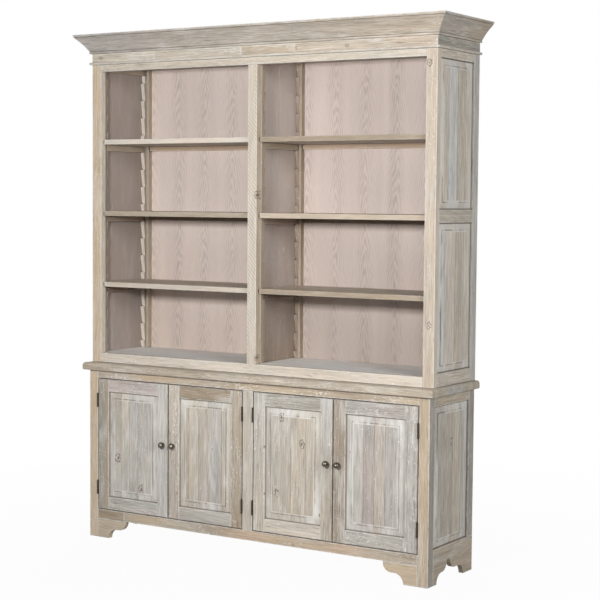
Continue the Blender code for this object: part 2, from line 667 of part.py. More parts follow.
def hinge_leaf_mesh(name, turns, side):
    """A leaf with its knuckles: the frame's leaf also holds the pin, the door's leaf turns on it."""
    step = HINGE_LENGTH / KNUCKLES
    half = HINGE_LENGTH / 2
    front = HINGE_PROUD + LEAF_EASE
    outline = [(front + HINGE_LEAF_DEPTH, -half), (front + HINGE_LEAF_DEPTH, half), (front, half)]
    for turn in reversed(turns):
        low = -half + turn * step + LEAF_EASE
        high = -half + (turn + 1) * step - LEAF_EASE
        outline += [(front, high), (0, high), (0, low), (front, low)]
    outline.append((front, -half))
    leaf = add_cutter(name, flat_mesh(name, [outline], HINGE_LEAF, FACING_RIGHT))
    leaf.location.x = side * (HINGE_LEAF / 2 + GAP)
    helpers = [leaf]
    for turn in turns:
        roll = rod_mesh(f"{name}_knuckle", HINGE_KNUCKLE, step - GAP, KNUCKLE_SIDES)
        knuckle = add_cutter(f"{name}_knuckle_{turn}", roll, (0, 0, -half + (turn + 0.5) * step))
        combine(leaf, knuckle, "UNION")
        helpers.append(knuckle)
    holds_pin = turns[0] == 0
    bore = HINGE_PIN if holds_pin else HINGE_PIN + PIN_PLAY
    length = HINGE_LENGTH - step if holds_pin else HINGE_LENGTH
    pin = add_cutter(f"{name}_pin", rod_mesh(f"{name}_pin", bore, length, KNUCKLE_SIDES))
    combine(leaf, pin, "UNION" if holds_pin else "DIFFERENCE")
    helpers.append(pin)
    graph = bpy.context.evaluated_depsgraph_get()
    mesh = bpy.data.meshes.new_from_object(leaf.evaluated_get(graph))
    mesh.transform(leaf.matrix_world)
    for helper in helpers:
        bpy.data.objects.remove(helper, do_unlink=True)
    return mesh


def knob_mesh():
    """A turned ball on a neck and a rose, with a spigot that fits its hole in the door."""
    middle = KNOB_ROSE_HEIGHT + LEAF_EASE + KNOB_RADIUS
    profile = []
    neck_turn = pi - asin(KNOB_NECK / KNOB_RADIUS)
    for step in range(2 * ARC_STEPS + 1):
        turn = neck_turn * step / (2 * ARC_STEPS)
        profile.append((KNOB_RADIUS * sin(turn), middle + KNOB_RADIUS * cos(turn)))
    profile += [(KNOB_ROSE, KNOB_ROSE_HEIGHT), (KNOB_ROSE, 0), (KNOB_SPIGOT, 0)]
    profile += [(KNOB_SPIGOT, -KNOB_SPIGOT_LENGTH), (0, -KNOB_SPIGOT_LENGTH)]
    shape = bmesh.new()
    verts = [shape.verts.new((radius, 0, up)) for radius, up in profile]
    for pair in zip(verts, verts[1:]):
        shape.edges.new(pair)
    mesh = bpy.data.meshes.new("knob_profile")
    shape.to_mesh(mesh)
    shape.free()
    turned = add_cutter("knob_profile", mesh)
    lathe = turned.modifiers.new("turning", "SCREW")
    lathe.steps = KNOB_STEPS
    lathe.render_steps = KNOB_STEPS
    lathe.use_merge_vertices = True
    lathe.merge_threshold = WELD
    graph = bpy.context.evaluated_depsgraph_get()
    knob = bpy.data.meshes.new_from_object(turned.evaluated_get(graph))
    bpy.data.objects.remove(turned, do_unlink=True)
    knob.transform(FRONTAL)
    knob.shade_smooth()
    knob.set_sharp_from_angle(angle=SHARP_ANGLE)
    return knob


def make_door(number, x_hinge, swing, frame_leaf, door_leaf, knob):
    """One framed door on two hinges; swing is +1 where it runs from its hinge towards +X."""
    axis = Vector((x_hinge + swing * HINGE_GAP / 2, Y_BASE - HINGE_PROUD, Z_DOOR + DOOR_HEIGHT / 2))
    carrier = bpy.data.objects.new(f"door_{number}_axis", None)
    carrier.location = axis
    PARTS.objects.link(carrier)
    near = x_hinge + swing * HINGE_GAP
    far = near + swing * DOOR_WIDTH
    low = (min(near, far), Z_DOOR)
    high = (max(near, far), Z_DOOR + DOOR_HEIGHT)
    open_low = (low[0] + DOOR_STILE, low[1] + DOOR_RAIL)
    open_high = (high[0] - DOOR_STILE, high[1] - DOOR_RAIL)
    y_mid = Y_BASE + DOOR_THICKNESS / 2

    loops = [rectangle(low, high), rectangle(open_low, open_high)]
    mesh = flat_mesh(f"door_{number}_frame", loops, DOOR_THICKNESS, FRONTAL)
    frame = add_part(f"door_{number}_frame", mesh, LIMED_PINE, (0, y_mid, 0), carrier)

    width = open_high[0] - open_low[0] + 2 * (GROOVE_DEPTH - PANEL_PLAY)
    height = open_high[1] - open_low[1] + 2 * (GROOVE_DEPTH - PANEL_PLAY)
    middle = ((low[0] + high[0]) / 2, Y_BASE + PANEL_SETBACK, (low[1] + high[1]) / 2)
    panel = raised_panel_mesh(f"door_{number}_panel", width, height, FRONTAL)
    add_part(f"door_{number}_panel", panel, LIMED_PINE, middle, carrier)
    half = PANEL_TONGUE / 2 + GAP
    groove_low = (open_low[0] - GROOVE_DEPTH, middle[1] - half, open_low[1] - GROOVE_DEPTH)
    groove_high = (open_high[0] + GROOVE_DEPTH, middle[1] + half, open_high[1] + GROOVE_DEPTH)
    combine(frame, block_cutter(f"groove_door_{number}", groove_low, groove_high), "DIFFERENCE")

    seat = (far - swing * KNOB_FROM_EDGE, Y_BASE - GAP, Z_DOOR + KNOB_HEIGHT)
    add_part(f"door_{number}_knob", knob.copy(), ANTIQUE_BRASS, seat, carrier)
    drill = rod_mesh(f"knob_hole_{number}", KNOB_SPIGOT + 2 * GAP, 2 * KNOB_SPIGOT_LENGTH, KNOB_STEPS)
    drill.transform(FRONTAL)
    hole = (seat[0], Y_BASE, seat[2])
    combine(frame, add_cutter(f"knob_hole_{number}", drill, hole), "DIFFERENCE")

    heights = (Z_DOOR + HINGE_INSET + HINGE_LENGTH / 2, Z_DOOR + DOOR_HEIGHT - HINGE_INSET - HINGE_LENGTH / 2)
    for level, up in zip(("lower", "upper"), heights):
        spot = (axis.x, axis.y, up)
        leaves = (("frame_leaf", frame_leaf, None), ("door_leaf", door_leaf, carrier))
        for word, leaf, parent in leaves:
            part = add_part(f"door_{number}_{level}_hinge_{word}", leaf.copy(), DARK_IRON, spot, parent)
            if swing < 0:
                part.rotation_euler = (0, pi, 0)


def make_doors():
    """Two pairs of doors: the outer ones hang on the corner posts, the inner ones on the centre stile."""
    frame_turns = list(range(0, KNUCKLES, 2))
    door_turns = list(range(1, KNUCKLES, 2))
    frame_leaf = hinge_leaf_mesh("frame_leaf", frame_turns, -1)
    door_leaf = hinge_leaf_mesh("door_leaf", door_turns, 1)
    knob = knob_mesh()
    hangings = ((-X_DOOR_OUTER, 1), (-X_DOOR_INNER, -1), (X_DOOR_INNER, 1), (X_DOOR_OUTER, -1))
    for number, (x_hinge, swing) in enumerate(hangings, 1):
        make_door(number, x_hinge, swing, frame_leaf, door_leaf, knob)


base_posts = make_base_face_frame()
make_front_brackets()
make_base_sides(base_posts)
make_cupboard_inside()
make_worktop()
upper_posts = make_upper_face_frame()
make_upper_sides(upper_posts)
make_bookcase_inside()
make_cornice()
make_bays()
make_doors()
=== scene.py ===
# %% [markdown]
# # A limed pine bookcase with cupboards
# The piece is built from reclaimed pine: a base with two pairs of doors, an open bookcase on it, and a
# crowned cornice. The frame loaded here holds the solids at their real size. This lesson dresses them:
# every board is made again with eased edges, and gets a finish that follows its own grain.

# %% Load the frame
import random
from contextlib import contextmanager
from math import asin, cos, pi, radians, sin

import bmesh
import bpy
from mathutils import Matrix, Vector


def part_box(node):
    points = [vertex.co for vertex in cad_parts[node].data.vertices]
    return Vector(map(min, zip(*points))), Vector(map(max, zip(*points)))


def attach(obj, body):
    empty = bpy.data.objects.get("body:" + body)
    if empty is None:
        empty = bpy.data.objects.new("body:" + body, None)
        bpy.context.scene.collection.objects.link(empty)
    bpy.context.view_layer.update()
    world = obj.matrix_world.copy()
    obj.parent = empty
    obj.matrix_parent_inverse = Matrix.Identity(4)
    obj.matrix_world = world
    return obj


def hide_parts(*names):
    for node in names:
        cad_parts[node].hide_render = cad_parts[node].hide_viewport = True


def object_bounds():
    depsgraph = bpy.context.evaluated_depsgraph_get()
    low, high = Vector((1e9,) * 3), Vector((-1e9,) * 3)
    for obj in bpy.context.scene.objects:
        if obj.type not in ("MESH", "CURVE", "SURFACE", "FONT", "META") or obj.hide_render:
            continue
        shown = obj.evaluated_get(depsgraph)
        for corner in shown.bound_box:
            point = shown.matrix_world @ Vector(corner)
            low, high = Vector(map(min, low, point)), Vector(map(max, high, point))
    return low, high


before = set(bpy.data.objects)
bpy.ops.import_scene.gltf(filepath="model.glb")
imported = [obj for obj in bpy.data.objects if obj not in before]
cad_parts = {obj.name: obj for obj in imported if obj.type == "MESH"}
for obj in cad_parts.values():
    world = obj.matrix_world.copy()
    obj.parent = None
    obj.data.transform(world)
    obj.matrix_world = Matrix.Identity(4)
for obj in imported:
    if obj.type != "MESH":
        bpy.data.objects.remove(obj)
CAD_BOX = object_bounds()

# %% [markdown]
# ## Camera
# The camera stands to the right of the bookcase, about as high as its middle shelf, and looks slightly down.
# It could be aimed by eye, but then no board would fall quite where it should, so its place, turn and lens
# were worked out from the corners of the piece.

# %% Camera
CAMERA_PLACE = (3.7196, -5.6007, 1.5433)
CAMERA_YAW = radians(-32.532)
CAMERA_PITCH = radians(-3.668)
CAMERA_ROLL = radians(0.452)
CAMERA_LENS = 92.95


def aim(yaw, pitch, roll):
    """Turn a camera from straight along +Y, by yaw, then pitch, then roll."""
    level = Matrix.Rotation(-yaw, 3, "Z") @ Matrix.Rotation(pi / 2 + pitch, 3, "X")
    return level @ Matrix.Rotation(roll, 3, "Z")


camera = bpy.data.objects.new("camera", bpy.data.cameras.new("camera"))
camera.data.lens = CAMERA_LENS
camera.data.clip_end = 100
camera.location = CAMERA_PLACE
camera.rotation_euler = aim(CAMERA_YAW, CAMERA_PITCH, CAMERA_ROLL).to_euler()
bpy.context.scene.collection.objects.link(camera)
bpy.context.scene.camera = camera
bpy.context.scene.view_settings.view_transform = "Standard"
print("camera:", round(camera.data.lens, 1), "mm lens")

# %% [markdown]
# ## Short words for shader nodes
# A finish is a tree of nodes. Wired one by one, a sum of three values takes many lines, so two small classes
# let the finishes be written as formulas: a Value is what one socket gives, and arithmetic on values makes
# the Math nodes.


# %% Values
class Value:
    """What one output of a node gives. Arithmetic on values makes Math nodes in the same tree."""

    def __init__(self, nodes, socket):
        self.nodes, self.socket = nodes, socket

    def __add__(self, other):
        return self.nodes.math("ADD", self, other)

    def __sub__(self, other):
        return self.nodes.math("SUBTRACT", self, other)

    def __mul__(self, other):
        return self.nodes.math("MULTIPLY", self, other)

    def __truediv__(self, other):
        return self.nodes.math("DIVIDE", self, other)

    def most(self, other):
        return self.nodes.math("MAXIMUM", self, other)

    def least(self, other):
        return self.nodes.math("MINIMUM", self, other)


# %% Nodes
class Nodes:
    """A shader tree, with a short word for each kind of node that the finishes use."""

    def __init__(self, tree):
        self.tree = tree

    def feed(self, socket, value):
        if isinstance(value, Value):
            self.tree.links.new(value.socket, socket)
        else:
            socket.default_value = value

    def node(self, kind, inputs=None, **settings):
        node = self.tree.nodes.new("ShaderNode" + kind)
        for name, value in settings.items():
            setattr(node, name, value)
        for name, value in (inputs or {}).items():
            self.feed(node.inputs[name], value)
        return node

    def add(self, kind, inputs=None, output=0, **settings):
        """What one output of a new node gives."""
        return Value(self, self.node(kind, inputs, **settings).outputs[output])

    def outputs(self, kind, inputs=None, **settings):
        """What every output of a new node gives, by name."""
        return {socket.name: Value(self, socket) for socket in self.node(kind, inputs, **settings).outputs}

    def math(self, operation, *values):
        return self.add("Math", dict(enumerate(values)), operation=operation)

    def vector(self, operation, first, second=(0, 0, 0)):
        return self.add("VectorMath", {0: first, 1: second}, operation=operation)

    def scale(self, colour, factor):
        return self.add("VectorMath", {0: colour, "Scale": factor}, operation="SCALE")

    def parts(self, vector):
        return list(self.outputs("SeparateXYZ", {0: vector}).values())

    def fade(self, value, start, end):
        """Nought at start and one at end, with a soft ramp between them."""
        limits = {"Value": value, "From Min": start, "From Max": end}
        return self.add("MapRange", limits, interpolation_type="SMOOTHSTEP")

    def band(self, value, *limits):
        """One between the two middle limits, nought outside the first and the last."""
        return self.fade(value, *limits[:2]) * self.fade(value, *limits[:1:-1])

    def span(self, value, low, high):
        """A noise value spread out from its usual middle to fill low to high."""
        limits = {"Value": value, "From Min": 0.28, "From Max": 0.72, "To Min": low, "To Max": high}
        return self.add("MapRange", limits)

    def noise(self, vector, stretch, detail=2.0):
        """Noise whose features have the size 1 / stretch on each axis, in metres."""
        place = self.vector("MULTIPLY", vector, stretch)
        return self.add("TexNoise", {"Vector": place, "Scale": 1.0, "Detail": detail})

    def spread(self, vector, stretch, low, high, detail=2.0):
        """Noise that fills low to high."""
        return self.span(self.noise(vector, stretch, detail), low, high)

    def mix(self, share, first, second, blend="MIX"):
        return self.add("Mix", {0: share, 6: first, 7: second}, 2, data_type="RGBA", blend_type=blend)

    def attribute(self, name, output="Vector"):
        return self.add("Attribute", None, output, attribute_name=name)

    def group(self, tree, **inputs):
        return self.outputs("Group", inputs, node_tree=tree)


# %% Groups and materials
SOCKET_KINDS = {"Grain": "Vector", "Place": "Vector", "Half": "Vector", "Knot": "Vector", "Color": "Color"}


def new_group(name, inputs, outputs):
    """An effect with named sockets; returns its nodes, its input values and its output sockets."""
    tree = bpy.data.node_groups.new(name, "ShaderNodeTree")
    for direction, words in (("INPUT", inputs), ("OUTPUT", outputs)):
        for word in words.split():
            kind = "NodeSocket" + SOCKET_KINDS.get(word, "Float")
            tree.interface.new_socket(word, in_out=direction, socket_type=kind)
    nodes = Nodes(tree)
    given = {socket.name: Value(nodes, socket) for socket in tree.nodes.new("NodeGroupInput").outputs}
    return nodes, given, tree.nodes.new("NodeGroupOutput").inputs


def new_material(name):
    """A material with one Principled shader; returns it, its nodes and the shader's inputs."""
    material = bpy.data.materials.new(name)
    material.use_nodes = True
    shader = material.node_tree.nodes["Principled BSDF"]
    return material, Nodes(material.node_tree), shader.inputs


def dress(nodes, shader, colour, roughness, height, strength, depth):
    """Feed a finish to its shader, with a relief of the given strength and depth."""
    nodes.feed(shader["Base Color"], colour)
    nodes.feed(shader["Roughness"], roughness)
    relief = {"Height": height, "Strength": strength, "Distance": depth}
    nodes.feed(shader["Normal"], nodes.add("Bump", relief))


# %% [markdown]
# ## Floor and light
# The piece stands in a white studio. More light would make the floor white, but would bleach the pale wood
# too, so the floor and the sky are white only to the camera and to mirrors, and the floor keeps a part of
# the shadow. A small lamp in front lights the doors and shelves, a broad one the right side, and one behind
# the back and the top. The sky itself is only a weak fill.

# %% Floor and sky
FLOOR_SIZE = 60.0
FLOOR_DROP = 0.0005
FLOOR_TINT = (0.4, 0.4, 0.4, 1.0)
FLOOR_GLOW = 0.97
SHADOW_REACH = (1.0, 3.0)
SKY_STRENGTH = 0.03
WHITE = (1.0, 1.0, 1.0, 1.0)


def seen_directly(nodes):
    """One for rays from the camera, a mirror or glass, nought for the light that fills the scene."""
    path = nodes.outputs("LightPath")
    return path["Is Camera Ray"].most(path["Is Glossy Ray"].most(path["Is Transmission Ray"]))


def floor_material():
    material, nodes, _ = new_material("studio_floor")
    diffuse = nodes.add("BsdfDiffuse", {"Color": FLOOR_TINT})
    glow = nodes.add("Emission", {"Color": WHITE, "Strength": 1.0})
    place = nodes.add("TexCoord", None, "Object")
    distance = nodes.add("VectorMath", {0: place}, "Value", operation="LENGTH")
    near, far = SHADOW_REACH
    limits = {"Value": distance, "From Min": near, "From Max": far, "To Min": FLOOR_GLOW}
    share = seen_directly(nodes) * nodes.add("MapRange", limits)
    surface = nodes.add("MixShader", {0: share, 1: diffuse, 2: glow})
    nodes.feed(material.node_tree.nodes["Material Output"].inputs["Surface"], surface)
    return material


def make_stage():
    shape = bmesh.new()
    bmesh.ops.create_grid(shape, x_segments=2, y_segments=2, size=FLOOR_SIZE / 2)
    mesh = bpy.data.meshes.new("studio_floor")
    shape.to_mesh(mesh)
    shape.free()
    mesh.materials.append(floor_material())
    floor = bpy.data.objects.new("studio_floor", mesh)
    floor.location.z = CAD_BOX[0][2] - FLOOR_DROP
    bpy.context.scene.collection.objects.link(floor)
    world = bpy.data.worlds.new("studio_sky")
    world.use_nodes = True
    nodes = Nodes(world.node_tree)
    background = world.node_tree.nodes["Background"].inputs
    nodes.feed(background["Color"], WHITE)
    limits = {"Value": seen_directly(nodes), "To Min": SKY_STRENGTH, "To Max": 1.0}
    nodes.feed(background["Strength"], nodes.add("MapRange", limits))
    bpy.context.scene.world = world


make_stage()
print("stage: floor", FLOOR_SIZE, "m wide, sky at", SKY_STRENGTH)

# %% Lamps
LAMPS = (
    # name, place, size, power
    ("key_lamp", (0.6, -3.5, 1.85), 0.35, 102.5),
    ("side_lamp", (5.2, -2.4, 2.4), 1.6, 155.0),
    ("back_lamp", (-2.4, 3.8, 4.0), 2.0, 200.0),
)
LAMP_TARGET = Vector((0.0, 0.0, 1.1))

for lamp_name, place, size, power in LAMPS:
    light = bpy.data.lights.new(lamp_name, "AREA")
    light.size = size
    light.energy = power
    lamp = bpy.data.objects.new(lamp_name, light)
    lamp.location = place
    lamp.rotation_euler = (LAMP_TARGET - lamp.location).to_track_quat("-Z", "Y").to_euler()
    bpy.context.scene.collection.objects.link(lamp)
print("lamps:", len(LAMPS))

# %% [markdown]
# ## Measures
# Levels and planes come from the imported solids, so nothing here can drift away from them. The few sizes
# that a box can't tell, such as the width of a stile, are written once by name.

# %% Planes of the carcass
GAP = 0.0003
DOOR_GAP = 0.002
CENTRE_STILE = 0.052
UPPER_STILE = 0.050
UPPER_CENTRE_STILE = 0.045
UPPER_TOP_RAIL = 0.031
SIDE_THICKNESS = 0.022
REAR_STILE = 0.046
BASE_LOW, BASE_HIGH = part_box("base_face_frame")
UPPER_LOW, UPPER_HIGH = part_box("upper_face_frame")
FOOT_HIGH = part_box("foot_bracket_front_right")[1]
X_BASE, Y_BASE, Z_WORKTOP = BASE_HIGH.x, BASE_LOW.y, BASE_HIGH.z
X_UPPER, Y_UPPER = UPPER_HIGH.x, UPPER_LOW.y
Z_UPPER, Z_CORNICE = UPPER_LOW.z, UPPER_HIGH.z
Y_POST_BACK, Y_UPPER_BACK = BASE_HIGH.y, UPPER_HIGH.y
Y_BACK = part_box("base_side_frame_right")[1].y
Y_BASE_RAIL_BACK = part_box("cupboard_floor")[0].y - GAP
X_DOOR_OUTER = FOOT_HIGH.x + GAP
Z_FOOT = FOOT_HIGH.z + GAP
Z_DOOR_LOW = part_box("cupboard_floor")[1].z
Z_DOOR_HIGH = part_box("door_1_frame")[1].z + DOOR_GAP
Z_BAY_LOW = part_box("bookcase_floor")[1].z
Z_BAY_HIGH = Z_CORNICE - UPPER_TOP_RAIL
Z_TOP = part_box("cornice")[1].z
print("doors from", round(Z_DOOR_LOW, 3), "to", round(Z_DOOR_HIGH, 3), "m")
print("bays from", round(Z_BAY_LOW, 3), "to", round(Z_BAY_HIGH, 3), "m")

# %% [markdown]
# ## Boards
# A reclaimed board has edges that a plane and years of use have softened, never quite straight. Each one
# starts as a cube, is cut across every few centimetres, has its corners pulled in a hair at random, and is
# then bevelled. On its points it carries where they lie in the board, how its grain runs and its own tint,
# so that one shared finish can still give every board its own face.

# %% Labels on a board's points
VECTOR_LAYERS = ("grain", "place", "half", "knot", "knot_two")
NO_KNOT = (0.0, 0.0, 0.0)
NO_RIM = (1.0, 1.0, 1.0, 1.0)
GRAIN_ROOM = 30
FLECKS = 0.25
UNITS = {"X": Vector((1, 0, 0)), "Y": Vector((0, 1, 0)), "Z": Vector((0, 0, 1))}
chance = random.Random(26)


def fresh(shape):
    """The points of the board in hand: those that no label has been written on."""
    done = shape.verts.layers.int["done"]
    return [vert for vert in shape.verts if not vert[done]]


def faces_of(verts):
    return list(dict.fromkeys(face for vert in verts for face in vert.link_faces))


def edges_of(verts):
    return list(dict.fromkeys(edge for vert in verts for edge in vert.link_edges))


def rim_distances(point, rim):
    """How far a point lies from the left, right, lower and upper edge of its door."""
    low, high = rim
    return point.x - low.x, high.x - point.x, point.z - low.z, high.z - point.z


def label(shape, axes, middle, half, tint, flecks=FLECKS, knots=(), rim=None):
    """Write on the new points their place in their board, and how it looks. A knot is (x, z, radius)."""
    layers = shape.verts.layers
    vectors = [layers.float_vector[name] for name in VECTOR_LAYERS]
    colour, distances, done = layers.float_color["tint"], layers.float_color["rim"], layers.int["done"]
    start = Vector([chance.uniform(0, GRAIN_ROOM) for _ in range(3)])
    marks = []
    for across, up, radius in knots:
        spot = axes @ (Vector((across, middle.y, up)) - middle)
        marks.append((spot[0], spot[2], radius))
    marks += [NO_KNOT, NO_KNOT]
    for vert in fresh(shape):
        place = axes @ (vert.co - middle)
        for layer, value in zip(vectors, (place + start, place, half, *marks)):
            vert[layer] = value
        shown = tint(place, half) if callable(tint) else tint
        vert[colour] = (*shown, flecks)
        vert[distances] = rim_distances(vert.co, rim) if rim else NO_RIM
        vert[done] = 1


def label_board(shape, low, high, along, tint, flecks, knots=(), rim=None, wide=None):
    """Label the new points as one board in a box: across (the wide way), through and along its grain."""
    size = high - low
    others = [axis for axis in "XYZ" if axis != along]
    others.sort(key=lambda axis: (axis != wide, -size["XYZ".index(axis)]))
    axes = Matrix((UNITS[others[0]], UNITS[others[1]], UNITS[along]))
    half = Vector([abs(part) for part in axes @ (size / 2)])
    label(shape, axes, (low + high) / 2, half, tint, flecks, knots, rim)


# %% Tints that change over a board
SIDE_FACE = 0.98


def fading(*tints, axis=2):
    """A tint that goes from one to the next along a board, or across it with axis 0."""
    def tint(place, half):
        share = min(max(place[axis] / half[axis] / 2 + 0.5, 0), 1) * (len(tints) - 1)
        first = min(int(share), len(tints) - 2)
        return tuple(Vector(tints[first]).lerp(Vector(tints[first + 1]), share - first))
    return tint


def painted_side_light(front, side, axis=0):
    """One tint for a board, and another for its right face: painted light and shade on that face."""
    return lambda place, half: side if place[axis] > SIDE_FACE * half[axis] else front


# %% Sawing and easing a board
EASE = 0.0012
EASE_STEPS = 2
CUT_LENGTH = 0.07
WAVER = 0.00035
SHARP = radians(30)


def block(shape, size, middle=(0, 0, 0)):
    made = bmesh.ops.create_cube(shape, size=1.0)["verts"]
    bmesh.ops.scale(shape, vec=size, verts=made)
    bmesh.ops.translate(shape, vec=middle, verts=made)
    return made


def round_over(shape, edges, radius, steps):
    bmesh.ops.bevel(
        shape, geom=edges, offset=radius, segments=steps, profile=0.5, affect="EDGES", material=-1,
        clamp_overlap=True,
    )


def ease_edges(shape, ease):
    """Bevel every sharp edge of the board in hand."""
    edges = [edge for edge in edges_of(fresh(shape)) if edge.is_manifold]
    round_over(shape, [edge for edge in edges if edge.calc_face_angle() > SHARP], ease, EASE_STEPS)


def board(shape, low, high, along, tint, flecks=FLECKS, knots=(), finish=0, slope=0.0, rim=None):
    """One sawn board between two corners, its grain along one axis, its ends sawn to a slope."""
    low, high = Vector(low), Vector(high)
    size, middle = high - low, (low + high) / 2
    axis = "XYZ".index(along)
    edges = edges_of(block(shape, size, middle))
    runs = [edge for edge in edges if abs((edge.verts[0].co - edge.verts[1].co)[axis]) > size[axis] / 2]
    cuts = int(size[axis] / CUT_LENGTH)
    if cuts:
        bmesh.ops.subdivide_edges(shape, edges=runs, cuts=cuts, use_grid_fill=True)
    for vert in sorted(fresh(shape), key=lambda vert: tuple(vert.co)):
        for side in range(3):
            if side != axis:
                vert.co[side] -= chance.uniform(0, WAVER) * (1 if vert.co[side] > middle[side] else -1)
    ease_edges(shape, min(EASE, min(size) / 4))
    verts = fresh(shape)
    for vert in verts:
        if slope and abs(vert.co[axis] - middle[axis]) > size[axis] / 2 - 2 * EASE:
            lean = (vert.co.z - low.z) * slope
            vert.co[axis] -= lean if vert.co[axis] > middle[axis] else -lean
    for face in faces_of(verts):
        face.material_index = finish
    label_board(shape, low, high, along, tint, flecks, knots, rim)


# %% Pieces
def close_piece(shape, name, finishes, node, body):
    """Turn a finished shape into an object that rides on its body and stands for its node."""
    mesh = bpy.data.meshes.new(name)
    shape.to_mesh(mesh)
    shape.free()
    for finish in finishes:
        mesh.materials.append(finish)
    made = bpy.data.objects.new(name, mesh)
    bpy.context.scene.collection.objects.link(made)
    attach(made, body)
    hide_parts(node)
    print(f"{name}: {len(mesh.polygons)} faces")
    return made


@contextmanager
def piece(name, finishes, slot, node, body="carcass"):
    """An empty shape with the labels' layers, which is closed once its boards are in it."""
    shape = bmesh.new()
    for layer in VECTOR_LAYERS:
        shape.verts.layers.float_vector.new(layer)
    for layer in ("tint", "rim"):
        shape.verts.layers.float_color.new(layer)
    shape.verts.layers.int.new("done")
    yield shape
    shape.verts.layers.int.remove(shape.verts.layers.int["done"])
    close_piece(shape, name, finishes, node, body)


# %% [markdown]
# ## Limed pine
# The real finish is white lime rubbed into planed and weathered pine: it stays in the open grain, in knots
# and on worn edges, and leaves the wood itself grey or honey-coloured. It could be painted as one image, but
# then every board would repeat it. Here noise that is stretched along each board's own grain gives streaks
# at three widths, and the lime is laid over them.

# %% Grain
def grain_group():
    nodes, given, result = new_group("pine_grain", "Grain", "Broad Streak Fibre Rings Cracks")
    grain = given["Grain"]
    sway = nodes.spread(grain, (11, 11, 2.2), -0.008, 0.008, 1)
    swayed = nodes.vector("ADD", grain, nodes.add("CombineXYZ", {0: sway}))
    nodes.feed(result["Broad"], nodes.spread(swayed, (40, 40, 3.2), 0, 1, 4))
    nodes.feed(result["Streak"], nodes.spread(swayed, (150, 150, 6), 0, 1, 3))
    nodes.feed(result["Fibre"], nodes.spread(swayed, (560, 560, 17), 0, 1))
    bow = nodes.noise(grain, (13, 13, 0.9), 1) * 46.0
    wave = nodes.math("SINE", nodes.parts(swayed)[0] * 900.0 + bow)
    nodes.feed(result["Rings"], wave * 0.5 + 0.5)
    split = nodes.fade(nodes.noise(swayed, (240, 240, 13)), 0.60, 0.70)
    nodes.feed(result["Cracks"], split * nodes.fade(nodes.noise(grain, (15, 15, 5), 1), 0.46, 0.62))
    return nodes.tree


PINE_GRAIN = grain_group()
print("grain:", len(PINE_GRAIN.nodes), "nodes")

# %% [markdown]
# ## Knots
# A knot is the foot of a branch: a dark core and a broken dark ring, with lime caught between them. Noise
# could scatter knots, but then they would fall anywhere. The place and radius of a knot are written on the
# points of its board instead, and the finish draws the rings from the distance to it.


# %% Knots
def knot_group():
    nodes, given, result = new_group("placed_knot", "Place Knot", "Dark Pale")
    place, knot = nodes.parts(given["Place"]), nodes.parts(given["Knot"])
    wobble = nodes.spread(given["Place"], (110, 110, 70), -0.4, 0.4)
    broken = nodes.spread(given["Place"], (170, 170, 110), 0.0, 1.0)
    across = place[0] - knot[0]
    along = (place[2] - knot[1]) * 0.7
    distance = nodes.math("SQRT", across * across + along * along)
    reach = distance / knot[2].most(0.00001) + wobble
    ring = nodes.band(reach, 0.65, 0.9, 1.0, 1.25) * nodes.fade(broken, -0.2, 0.5)
    nodes.feed(result["Dark"], nodes.fade(reach, 0.55, 0.25).most(ring))
    nodes.feed(result["Pale"], nodes.band(reach, 0.35, 0.6, 0.75, 0.95))
    return nodes.tree


PLACED_KNOT = knot_group()
print("knots:", len(PLACED_KNOT.nodes), "nodes")

# %% [markdown]
# ## Wear, flecks, dirt and painted shadow
# Edges lose their colour where hands rub them, chips of lime stay in patches, a painted shadow darkens the
# edges of a door, and dirt settles in the joints between staves. All of it depends on how far a point is from
# an edge, which the labels tell, so none of it has to be painted by hand.

# %% Worn edges
WORN_WIDTH = 0.006


def wear_group():
    """How worn a point is, and its distance from the nearest edge of the board's face."""
    nodes, given, result = new_group("worn_edge", "Place Half", "Wear Margin")
    offset = nodes.vector("ABSOLUTE", given["Place"])
    first, second, third = nodes.parts(nodes.vector("SUBTRACT", given["Half"], offset))
    nodes.feed(result["Margin"], first.least(third))
    edge = first.least(second).most(first.most(second).least(third))
    rough = nodes.spread(given["Place"], (160, 160, 40), 0.1, 1.3)
    nodes.feed(result["Wear"], nodes.fade(edge / WORN_WIDTH, rough, rough * 0.45))
    return nodes.tree


WORN_EDGE = wear_group()
print("wear:", len(WORN_EDGE.nodes), "nodes")


# %% Flecks of lime
def fleck_group():
    nodes, given, result = new_group("lime_flecks", "Grain Amount", "Flecks")
    patch = nodes.spread(given["Grain"], (17, 17, 6), 0.0, 1.0, 1)
    level = given["Amount"] * patch * -0.34 + 0.725
    fine = nodes.noise(given["Grain"], (210, 210, 75), 3)
    nodes.feed(result["Flecks"], nodes.fade(fine, level, level + 0.05))
    return nodes.tree


LIME_FLECKS = fleck_group()
print("flecks:", len(LIME_FLECKS.nodes), "nodes")

# %% Painted shadow along door rims, dirt in stave joints
RIM_SHADOW_AND_JOINT_DIRT = (0.0045, 0.0015)
THICKEST_BOARD = 0.1


def rim_group():
    """Painted shadow along the edges of a door, on its faces but not its thickness, and dirt in the joints of
    staves.
    """
    nodes, given, result = new_group("rim_shadow_and_joints", "Place Half", "Rim")
    left, right, lower = nodes.outputs("SeparateColor", {0: nodes.attribute("rim", "Color")}).values()
    nearest = left.least(right).least(lower.least(nodes.attribute("rim", "Alpha")))
    width = nearest / nodes.spread(given["Place"], (120, 120, 50), 0.7, 1.3)
    thick = nodes.parts(given["Half"])[1]
    depth = nodes.math("ABSOLUTE", nodes.parts(given["Place"])[1] / thick)
    stave = nodes.math("GREATER_THAN", thick, THICKEST_BOARD) * 0.7
    nodes.feed(result["Rim"], nodes.fade(width, *RIM_SHADOW_AND_JOINT_DIRT) * nodes.fade(depth, 0.85, 0.95).most(stave))
    return nodes.tree


RIM_SHADOW_AND_JOINTS = rim_group()
print("rims:", len(RIM_SHADOW_AND_JOINTS.nodes), "nodes")

# %% Saw marks
SAW_PERIOD = 0.019
SAW_SLANT = 1.2


